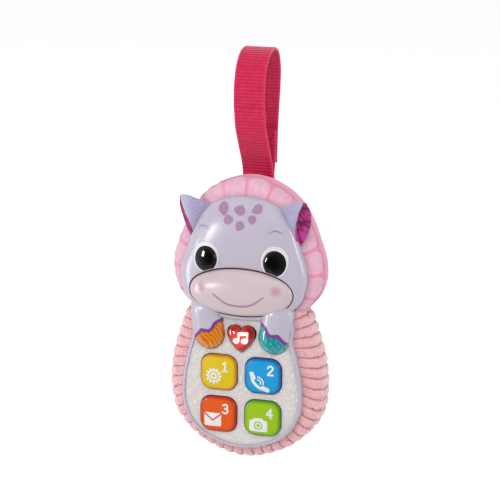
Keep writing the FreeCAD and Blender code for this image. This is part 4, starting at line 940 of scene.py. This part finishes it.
inner = smooth(hoop(HEAD_SIDE), HOOD_COLUMNS)
outer = smooth(hoop(HOOD), HOOD_COLUMNS)
hood_rows = swept_wall(inner, outer, HOOD_FRONT, HOOD_BACK, HOOD_SECTIONS, 0.8, 0.02)
lap = at_depth((inner - HEAD_HUB) * (0.94, 0.955) + HEAD_HUB, HOOD_BACK - 0.1)
tuck = lap - (0, 0.9, 0)
out = surface_normals(hood_rows)
out *= math.copysign(1, out[HOOD_SECTIONS // 2, HOOD_COLUMNS // 2, 2])
across, along = np.mgrid[0:HOOD_SECTIONS, 0:HOOD_COLUMNS]
near_seam = np.exp(-(((across - SEAM_SHARE * (HOOD_SECTIONS - 1)) / 4.5) ** 2))
pucker = np.array([[noise.noise(Vector((c * 0.33, r * 0.05, 3.1))) for c in range(HOOD_COLUMNS)]
                   for r in range(HOOD_SECTIONS)])
hood_rows += out * (near_seam * (pucker * 0.9 - 0.35))[:, :, None]
# The back half draws in a little, and the front is hollowed where the ears lie against it.
EAR_SEAT, HOLLOW_DEPTH, HOLLOW_RADIUS = (40.5, 107), 4.8, 10
DRAWN_IN, DRAWN_FROM, DRAWN_BACK = 0.16, 14, 33
HOLLOW_FULL, HOLLOW_END = 6, 16
hood_x, hood_y, hood_z = (hood_rows[:, :, k] for k in range(3))
drawn_in = DRAWN_IN * np.clip((hood_y - DRAWN_FROM) / (DRAWN_BACK - DRAWN_FROM), 0, 1)
hood_x += (inner[:, 0] - hood_x) * drawn_in
hood_z += (inner[:, 1] - hood_z) * drawn_in
from_ear = np.hypot(np.abs(hood_x) - EAR_SEAT[0], hood_z - EAR_SEAT[1])
in_front = np.clip((HOLLOW_END - hood_y) / (HOLLOW_END - HOLLOW_FULL), 0, 1)
hood_y += HOLLOW_DEPTH * np.exp(-((from_ear / HOLLOW_RADIUS) ** 2)) * in_front


def petal_mask(finish):
    """1 inside the rounded petals printed on the hood's front."""
    u, v = finish.uv()
    side = finish.times(finish.minus(finish.math("FRACT", u), 0.5), 2.28)
    reach = finish.math("DIVIDE", v, SEAM_SHARE)
    past = finish.math("MAXIMUM", finish.math("DIVIDE", finish.minus(reach, 0.55), 0.5), 0.0)
    wobble = finish.times(finish.minus(finish.noise(6, 2), 0.5), 0.35)
    wide = finish.math("POWER", finish.size_of(side), 2.6)
    size = finish.plus(wide, finish.math("POWER", past, 2.2))
    return finish.ramp(finish.plus(size, wobble), 1.12, 0.72)


def printed_padding():
    finish = Finish("printed_padding", (240, 150, 178), 0.85, Sheen_Weight=0.25, Sheen_Roughness=0.4,
                    Specular_IOR_Level=0.2)
    ground = finish.mix(finish.ramp(finish.noise(9, 3), 0.25, 0.75), (238, 146, 176), (241, 166, 190))
    petal = finish.mix(finish.ramp(finish.noise(2.6, 3), 0.3, 0.75), (230, 180, 204), (238, 196, 212))
    finish.paint(petal_mask(finish), ground, petal)
    finish.bump(woven(finish, 0.42), 0.08, 0.6)
    return finish


hood_cloth = printed_padding()
hood = grid("hood_padding", [*hood_rows, lap, tuck], hood_cloth, None)
span = np.linspace(0, PETALS, HOOD_COLUMNS)
share_map(hood, [(across, row / (HOOD_SECTIONS - 1)) for row in range(HOOD_SECTIONS + 2) for across in span])


def puff(obj, held, pressure, cap_mm, frames=20):
    """Inflates a fabric shell with Cloth, holding some vertices, and keeps the result."""
    rest = np.array([v.co for v in obj.data.vertices])
    group = obj.vertex_groups.new(name="held")
    for index, weight in held.items():
        group.add([index], weight, "REPLACE")
    cloth = obj.modifiers.new("Cloth", "CLOTH")
    cloth.settings.effector_weights.gravity = 0
    wanted = {"use_pressure": True, "uniform_pressure_force": pressure, "vertex_group_mass": "held",
              "tension_stiffness": 12, "compression_stiffness": 12, "shear_stiffness": 4,
              "bending_stiffness": 0.3, "quality": 6}
    for key, value in wanted.items():
        setattr(cloth.settings, key, value)
    scene = bpy.context.scene
    for step in range(1, frames + 1):
        scene.frame_set(step)
    shaped = obj.evaluated_get(bpy.context.evaluated_depsgraph_get())
    after = np.array([v.co for v in shaped.data.vertices])
    move = after - rest
    length = np.linalg.norm(move, axis=1, keepdims=True)
    after = rest + move * np.minimum(1, cap_mm * MM / np.maximum(length, 1e-9))
    obj.modifiers.remove(cloth)
    obj.vertex_groups.clear()
    obj.data.vertices.foreach_set("co", after.ravel())
    obj.data.update()
    scene.frame_set(1)


seam_row = round(SEAM_SHARE * (HOOD_SECTIONS - 1))
held = {seam_row * HOOD_COLUMNS + column: 0.9 for column in range(HOOD_COLUMNS)}
for row in range(HOOD_SECTIONS + 2):
    whole = row < 2 or row >= HOOD_SECTIONS - 2
    for column in range(HOOD_COLUMNS) if whole else (0, HOOD_COLUMNS - 1):
        held[row * HOOD_COLUMNS + column] = 1.0
puff(hood, held, 3.0, 2.5)
smoother = hood.modifiers.new("Smooth", "SUBSURF")
smoother.levels = smoother.render_levels = 1
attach(hood, "casing")
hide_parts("hood")

# Piping in the seam between the hood's front and its back.
seam_line = hood_rows[seam_row] * 0.9985 + hood_rows[seam_row].mean(axis=0) * 0.0015


def tube(name, line, radius, finish, body, sides=8):
    """A round cord of fabric along a line of points."""
    line = np.array(line, float)
    along = unit(np.gradient(line, axis=0))
    side = unit(np.cross(along, (0.02, 1.0, 0.03)))
    other = np.cross(along, side)
    turns = np.linspace(0, 2 * math.pi, sides, endpoint=False)
    rows = [[p + radius * (s * math.cos(a) + o * math.sin(a)) for a in turns]
            for p, s, o in zip(line, side, other)]
    return grid(name, rows, finish, body, wrap=True, fill_start=True, fill_end=True)


piping_cloth = plush("hood_piping", (224, 140, 166), pile=0.3)
tube("hood_piping", seam_line, 0.35, piping_cloth, "casing")


HOOD_REAR, HOOD_REAR_DROP = 33.1, 0.9


def hood_back_depth(x, z):
    return HOOD_REAR - HOOD_REAR_DROP * polar(x, z, HEAD_HUB, HEAD_REACH)[1] ** 3


# The height and depth of the hem along the lower edge of the hood's back.
HEM, HEM_DEPTH = 103.8, 32.6
above_hem = [p for p in head_loop if p[1] > HEM + 0.4]
ordered = sorted(above_hem, key=lambda p: math.atan2(p[0], p[1] - HEM))
left_end, right_end = ordered[0], ordered[-1]
back_edge = np.array([*ordered, *[(x, HEM) for x in np.linspace(right_end[0], left_end[0], 40)]])
back_panel = draped("hood_back", [[back_edge]], hood_back_depth, hood_cloth, "casing",
                    lift=0, spacing=1.2)
hem_line = [(x, HEM_DEPTH, HEM) for x in np.linspace(right_end[0] - 0.3, left_end[0] + 0.3, 60)]
tube("hood_hem", hem_line, 0.7, piping_cloth, "casing")

# ---- ears ----

# One leaf of cloth folded along its upper edge: points on its front free edge, its fold and its back free
# edge. The two ears flop differently.
EARS = {
    "left": (
        -1,
        [(33.2, 2.4, 99.6), (34.2, 1.2, 105.0), (36.4, 0.5, 110.5), (38.9, 0.8, 116.4), (41.0, 2.6, 122.8)],
        [(22.6, 5.0, 118.6), (27.0, 4.2, 120.4), (31.2, 3.6, 121.6), (36.0, 3.2, 123.2), (41.4, 3.0, 124.0)],
        [(34.4, 5.0, 97.4), (37.4, 5.2, 103.2), (39.9, 5.2, 109.6), (42.0, 4.8, 117.0), (41.6, 3.4, 123.4)],
    ),
    "right": (
        1,
        [(33.9, 2.4, 100.2), (33.4, 1.2, 105.8), (34.0, 0.4, 111.6), (34.9, 0.8, 117.6), (36.4, 2.4, 122.9)],
        [(22.6, 5.0, 118.6), (26.8, 4.2, 120.8), (30.4, 3.6, 122.8), (34.4, 3.2, 124.2), (37.6, 3.0, 124.6)],
        [(35.4, 5.0, 97.0), (39.0, 5.2, 103.2), (41.2, 5.2, 110.2), (41.2, 4.8, 117.6), (38.6, 3.6, 124.0)],
    ),
}
EAR_ROWS, EAR_COLUMNS = 44, 49
PLUSH_THICKNESS = 1.3


def ear_rows(sign, lines):
    """Rows from an ear's root to its tip, each from the front edge round the fold to the back edge."""
    edges = [smooth(line, EAR_ROWS) for line in lines]
    rows = []
    for step, (front, fold, back) in enumerate(zip(*edges)):
        bulge = math.sin(math.pi * (0.12 + 0.88 * step / (EAR_ROWS - 1))) ** 0.8
        out_front = (front + fold) / 2 + np.array([0.6, -2.4, -0.4]) * bulge
        out_back = (back + fold) / 2 + np.array([0.8, 1.5, 0.3]) * bulge
        rows.append(smooth([front, out_front, fold, out_back, back], EAR_COLUMNS))
    return np.array(rows) * (sign, 1, 1)


ear_cloth = plush("lilac_plush", (182, 176, 206), pile=1.1)
# Painted light and shade: the ears are painted lighter towards their outer ends, where light falls, and
# darker near the head, in its shade.
outward = ear_cloth.node("SeparateXYZ", Vector=ear_cloth.where()).outputs[0]
outward = ear_cloth.ramp(ear_cloth.size_of(outward), 0.029, 0.040)
plush_and_painted_light = ear_cloth.shader.inputs["Base Color"].links[0].from_socket
plush_and_painted_light = ear_cloth.mix(ear_cloth.times(outward, 0.55), plush_and_painted_light, (206, 204, 220))
painted_shade_near_head = ear_cloth.times(ear_cloth.minus(1.0, outward), 0.3)
ear_cloth.paint(painted_shade_near_head, plush_and_painted_light, (138, 128, 178))
satin = Finish("magenta_satin", (140, 24, 104), 0.42, Sheen_Weight=0.1, Anisotropic=0.5,
               Specular_IOR_Level=0.3)
drawn_out = satin.node("Mapping", {}, Vector=satin.where(), Scale=(0.55, 0.55, 1.7)).outputs[0]
folds = satin.node("TexNoise", Vector=drawn_out, Scale=1 / (4.6 * MM), Detail=2.5)
# Painted highlights: the satin is painted lighter along its folds, where they would catch the light; the same
# noise bumps the folds.
painted_light = satin.ramp(folds.outputs["Fac"], 0.3, 0.68)
satin.paint(painted_light, (128, 24, 98), (212, 78, 158))
satin.bump(folds.outputs["Fac"], 0.7, 0.8)

for side, (sign, *lines) in EARS.items():
    rows = ear_rows(sign, lines)
    out = surface_normals(rows)
    if out[EAR_ROWS // 3, EAR_COLUMNS // 4, 1] > 0:
        out = -out
    across = np.linspace(-1, 1, EAR_COLUMNS)
    thin = np.sqrt(np.clip(1 - np.abs(across) ** 6, 0, 1))[None, :, None]
    narrow = np.clip((EAR_ROWS - 1 - np.arange(EAR_ROWS)) / 5, 0, 1)[:, None, None] ** 0.5
    fuzz = np.array([[noise.noise(Vector(p) * 1.3) * 0.3 for p in row] for row in rows])[:, :, None]
    outer = rows + out * (PLUSH_THICKNESS * 0.6 * thin * narrow + fuzz * narrow)
    inner = rows - out * 0.35 * thin * narrow
    pleats = np.sin(np.arange(EAR_ROWS)[:, None] * 0.95 + across[None, :] * 2.2)[:, :, None]
    inner = inner - out * (pleats * 0.42 * (1 - np.abs(across)[None, :, None] ** 4) + 0.42) * narrow
    body = f"ear_{side}"
    leaf = grid(f"ear_plush_{side}", outer, ear_cloth, body)
    lining = grid(f"ear_satin_{side}", inner, satin, body)
    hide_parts(f"ear_{side}")
    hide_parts(f"ear_lining_{side}")
    for word, column in (("front", 0), ("back", EAR_COLUMNS - 1)):
        tube(f"ear_piping_{word}_{side}", rows[:, column], 0.55, satin, body)

# ---- webbing ----

# Middle lines of the webbing as (depth, height).
FRONT_LEG = [(34.8, 108.2), (34.8, 119.0), (34.8, 129.3), (34.8, 132.8), (34.3, 141.0), (29.2, 152.5),
             (23.7, 165.2), (21.7, 178.0)]
CREST_AND_FLAP = [(21.7, 178.0), (22.2, 191.0), (26.6, 203.0), (35.0, 210.3), (45.0, 212.1), (52.4, 208.8),
                  (56.3, 200.4), (56.6, 194.0), (55.5, 184.0), (51.9, 170.0), (49.3, 160.0), (46.9, 150.0),
                  (44.2, 140.5)]
TAB = [(36.55, 108.2), (36.55, 119.0), (36.55, 129.3), (36.5, 132.8), (37.6, 135.5), (40.4, 141.3),
       (43.0, 150.8), (45.3, 160.6)]
WEB_WIDTH, WEB_THICKNESS, WEFT, WEFT_SWELL, WEB_STEP = 20.0, 1.5, 2.1, 0.14, 0.42
# How far the loop leans to the toy's right, by height.
LEAN, LEAN_HEIGHTS, LEAN_SHARES = 3.8, (124, 137, 150, 165, 180, 214), (0, 0.38, 0.62, 0.82, 0.95, 1.0)


def web_section(width, thickness):
    """Half-round edges and flat faces, as (across, through), starting at the front's middle."""
    w, h = width / 2, thickness / 2
    edge = [(w - h + h * math.sin(a), -h * math.cos(a)) for a in np.linspace(0, math.pi, 7)]
    front = [(x, -h) for x in np.linspace(0, w - h, 8)[:-1]]
    back = [(x, h) for x in np.linspace(w - h, 0, 8)[1:-1]]
    right = front + edge + back
    return right + [(-x, y) for x, y in [(0, h)] + list(reversed(right[1:]))]


def webbing(name, path, finish, width=WEB_WIDTH, thickness=WEB_THICKNESS, shift=0.0,
            hem=0.0):
    """A woven strip along a path, moved off it by shift; hem thickens its far end, which is turned over."""
    length = float(np.sum(np.hypot(*np.diff(smooth(path, 400), axis=0).T)))
    line = smooth(path, int(length / WEB_STEP))
    through = normals_2d(line, closed=False)
    section = web_section(width, thickness)
    travel = np.linspace(0, length, len(line))
    swell = WEFT_SWELL * np.abs(np.sin(math.pi * travel / WEFT)) if width == WEB_WIDTH else travel * 0
    swell += hem * np.clip((travel - length + 2.4) / 0.6, 0, 1)
    rows, shares = [], []
    for (depth, height), (ty, tz), more, at in zip(line, through, swell, travel):
        row = []
        lean = -LEAN * float(np.interp(height, LEAN_HEIGHTS, LEAN_SHARES))
        for x, y in section:
            lip = 1 + 0.12 * (abs(x) > width / 2 - 1.6)
            reach = shift - y * lip * (1 + more / (thickness / 2))
            row.append((x + lean, depth + ty * reach, height + tz * reach))
            shares.append((x / width + 0.5, at / WEFT))
        rows.append(row)
    strip = grid(name, rows, finish, None, wrap=True, fill_start=True, fill_end=True)
    shares += [(0.5, 0.0), (0.5, length / WEFT)]
    share_map(strip, shares)
    return strip, length


def webbing_finish(name, colour):
    finish = Finish(name, colour, 0.6, Sheen_Weight=0.25, Sheen_Roughness=0.35, Specular_IOR_Level=0.3)
    u, v = finish.uv()
    weft = finish.size_of(finish.math("SINE", finish.times(v, math.pi)))
    warp = finish.size_of(finish.math("SINE", finish.times(u, math.pi * 22)))
    edge = finish.ramp(finish.size_of(finish.minus(u, 0.5)), 0.42, 0.46)
    # Painted shade in the grooves between the weft ribs.
    shade = finish.mix(finish.ramp(weft, 0.0, 0.75), [c * 0.78 for c in colour], colour)
    cloudy = finish.times(finish.ramp(finish.noise(2.2, 4), 0.35, 0.75), 0.35)
    shade = finish.mix(cloudy, shade, [min(255, c * 1.18 + 8) for c in colour])
    finish.paint(finish.times(edge, 0.4), shade, [min(255, c * 1.12 + 12) for c in colour])
    height = finish.plus(weft, finish.times(warp, 0.45))
    finish.bump(height, 0.3, 0.9)
    return finish


crimson_web = webbing_finish("magenta_webbing", (217, 46, 90))
lower, lower_length = webbing("strap_leg", FRONT_LEG, crimson_web)
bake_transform(lower)
upper, upper_length = webbing("strap_crest_and_flap", CREST_AND_FLAP, crimson_web, hem=0.3)
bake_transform(upper)
tab, tab_length = webbing("strap_tab_web", TAB, crimson_web, hem=0.3)
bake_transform(tab)
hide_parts("strap_front", "strap_base")
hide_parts("strap_flap")
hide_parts("strap_tab")

fastener = plush("magenta_fastener", (176, 34, 78), pile=0.35)
PATCH_WIDTH, PATCH_THICKNESS = 17.0, 0.7
hook_side = (WEB_THICKNESS + PATCH_THICKNESS) / 2
for word, path, body, web in (("hook", TAB, "strap", tab), ("loop", CREST_AND_FLAP, "strap_flap", upper)):
    patch, length = webbing(f"{word}_patch_pile", path[-3:], fastener, PATCH_WIDTH,
                            PATCH_THICKNESS, -hook_side)
    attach(patch, body)
    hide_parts(f"{word}_patch")

# Bar-tack stitching that holds the webbing to the hood's back.
thread = plastic("sewing_thread", (196, 60, 110), 0.7, grain=0.03)
STITCH_OUT, STITCH_DIP, STITCHES = 37.35, 0.12, 9
stitch_corners = [(x, z) for z in (109.6, 121.5) for x in (-8.4, 8.4)]
for number, (first, last) in enumerate(((0, 1), (2, 3), (0, 2), (1, 3), (0, 3), (1, 2)), 1):
    (x0, z0), (x1, z1) = stitch_corners[first], stitch_corners[last]
    run = [(x0 + (x1 - x0) * s, STITCH_OUT - STITCH_DIP * abs(math.sin(STITCHES * math.pi * s)),
            z0 + (z1 - z0) * s) for s in np.linspace(0, 1, 46)]
    tube(f"strap_stitch_{number}", run, 0.22, thread, "casing", 6)

# ---- CAD pieces that stay ----

finishes = {
    "lilac_shell": lilac_shell,
    "printed_panel": panel_print,
    "white_plastic": white_plastic,
    "plated_steel": metal("plated_steel", (190, 192, 196)),
    "circuit_board": plastic("circuit_board", (44, 110, 66), 0.4),
    "grey_rubber": plastic("grey_rubber", (150, 152, 156), 0.7, grain=0.05),
    "black_component": plastic("black_component", (34, 34, 36), 0.5, grain=0.04),
    "cell_wrap": plastic("cell_wrap", (64, 96, 130), 0.25),
    "black_foam": plastic("black_foam", (44, 44, 46), 0.9, grain=0.15),
    "lead_insulation": plastic("lead_insulation", (186, 40, 36), 0.4),
    "blush_plastic": muzzle_plastic,
    "black_gloss": eye_black,
}
slot_of = {part["node"]: part["material_slot"] for part in frame["record"]["subparts"]}
for name, node in frame["nodes"].items():
    if not node.hide_render:
        assign(node, finishes[slot_of[name]])

# ---- studio ----

CAMERA_TURN, CAMERA_TILT = 17, 12.5
FLOOR_BELOW = 0.045
# Each lamp's yaw and pitch from the camera's line, distance, width and height in metres, and power.
LAMPS = {
    "catch_light": (-50, -9, 1.1, (0.13, 0.15), 1.9),
    "left_strip": (-72, -14, 0.5, (0.06, 0.18), 0.5),
    "right_strip": (60, 10, 1.0, (0.07, 0.45), 2.2),
    "eye_light": (-72, 12, 0.6, (0.14, 0.26), 9),
    "fill": (-8, 30, 1.3, (1.3, 1.0), 19.2),
    "left_fill": (-66, 6, 1.0, (0.8, 0.8), 1.5),
}


def studio_world():
    """White all round, darker towards the camera's side, as a white sweep in a dark room is."""
    world = bpy.data.worlds.new("studio")
    bpy.context.scene.world = world
    world.use_nodes = True
    tree = world.node_tree
    back = tree.nodes["Background"]
    back.inputs["Color"].default_value = (1, 1, 1, 1)
    split = tree.nodes.new("ShaderNodeSeparateXYZ")
    spread = tree.nodes.new("ShaderNodeMapRange")
    tree.links.new(tree.nodes.new("ShaderNodeTexCoord").outputs["Generated"], split.inputs[0])
    tree.links.new(split.outputs["Y"], spread.inputs["Value"])
    for name, value in (("From Min", -0.85), ("From Max", -0.15), ("To Min", 0.12), ("To Max", 1.2)):
        spread.inputs[name].default_value = value
    tree.links.new(spread.outputs[0], back.inputs["Strength"])


def view_axes(turn, tilt):
    turn, tilt = math.radians(turn), math.radians(tilt)
    right = Vector((math.cos(turn), math.sin(turn), 0))
    up = Vector((-math.sin(turn) * math.sin(tilt), math.cos(turn) * math.sin(tilt), math.cos(tilt)))
    return right, up, right.cross(up)


def add_camera(right, up, back):
    """A long lens from the right and a little above, leaned slightly."""
    lens, film, view_width, roll = 150, 36, 0.3125, math.radians(0.7)
    off_right, off_up = 0.0045, 0.0905
    camera = add_object("camera", bpy.data.cameras.new("camera"))
    camera.data.lens = lens
    camera.data.sensor_width = film
    camera.location = MIDDLE + right * off_right + up * off_up + back * (view_width * lens / film)
    camera.rotation_mode = "QUATERNION"
    level = Matrix((right, up, back)).transposed().to_quaternion()
    camera.rotation_quaternion = Quaternion(back, roll) @ level
    bpy.context.scene.camera = camera


def softbox(name, aim, axes, yaw, pitch, distance, size, power):
    """A large area light aimed at the toy; yaw and pitch are from the camera's line."""
    right, up, back = axes
    yaw, pitch = math.radians(yaw), math.radians(pitch)
    away = (back * math.cos(yaw) + right * math.sin(yaw)) * math.cos(pitch) + up * math.sin(pitch)
    data = bpy.data.lights.new(name, "AREA")
    data.shape = "RECTANGLE"
    data.size, data.size_y = size
    data.energy = power
    lamp = add_object(name, data)
    lamp.location = aim + away * distance
    lamp.visible_camera = False
    lamp.rotation_mode = "QUATERNION"
    lamp.rotation_quaternion = away.to_track_quat("Z", "Y")
    return lamp


def add_floor(height):
    bpy.ops.mesh.primitive_plane_add(size=30, location=(0, 0, height))
    floor = bpy.context.object
    floor.name = "floor"
    paper = Finish("paper", (255, 255, 255), 0.7)
    paper.set(Base_Color=(0.96, 0.96, 0.96, 1))
    assign(floor, paper)
    floor.visible_glossy = False


bpy.context.scene.view_settings.view_transform = "Standard"
studio_world()
low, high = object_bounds()
add_floor(low.z - FLOOR_BELOW)
axes = view_axes(CAMERA_TURN, CAMERA_TILT)
add_camera(*axes)
aim = (low + high) / 2
lamps = {name: softbox(name, aim, axes, *numbers) for name, numbers in LAMPS.items()}
# One lamp puts a catch light in each eye, and the two small lamps leave the eyes alone.
only_eyes, but_eyes = (bpy.data.collections.new(name) for name in ("only_eyes", "but_eyes"))
for ball in eye_balls:
    only_eyes.objects.link(ball)
    but_eyes.objects.link(ball)
for linked in but_eyes.collection_objects:
    linked.light_linking.link_state = "EXCLUDE"
for name, receivers in (("eye_light", only_eyes), ("catch_light", but_eyes), ("left_strip", but_eyes)):
    lamps[name].light_linking.receiver_collection = receivers
lamps["fill"].visible_glossy = lamps["left_fill"].visible_glossy = False
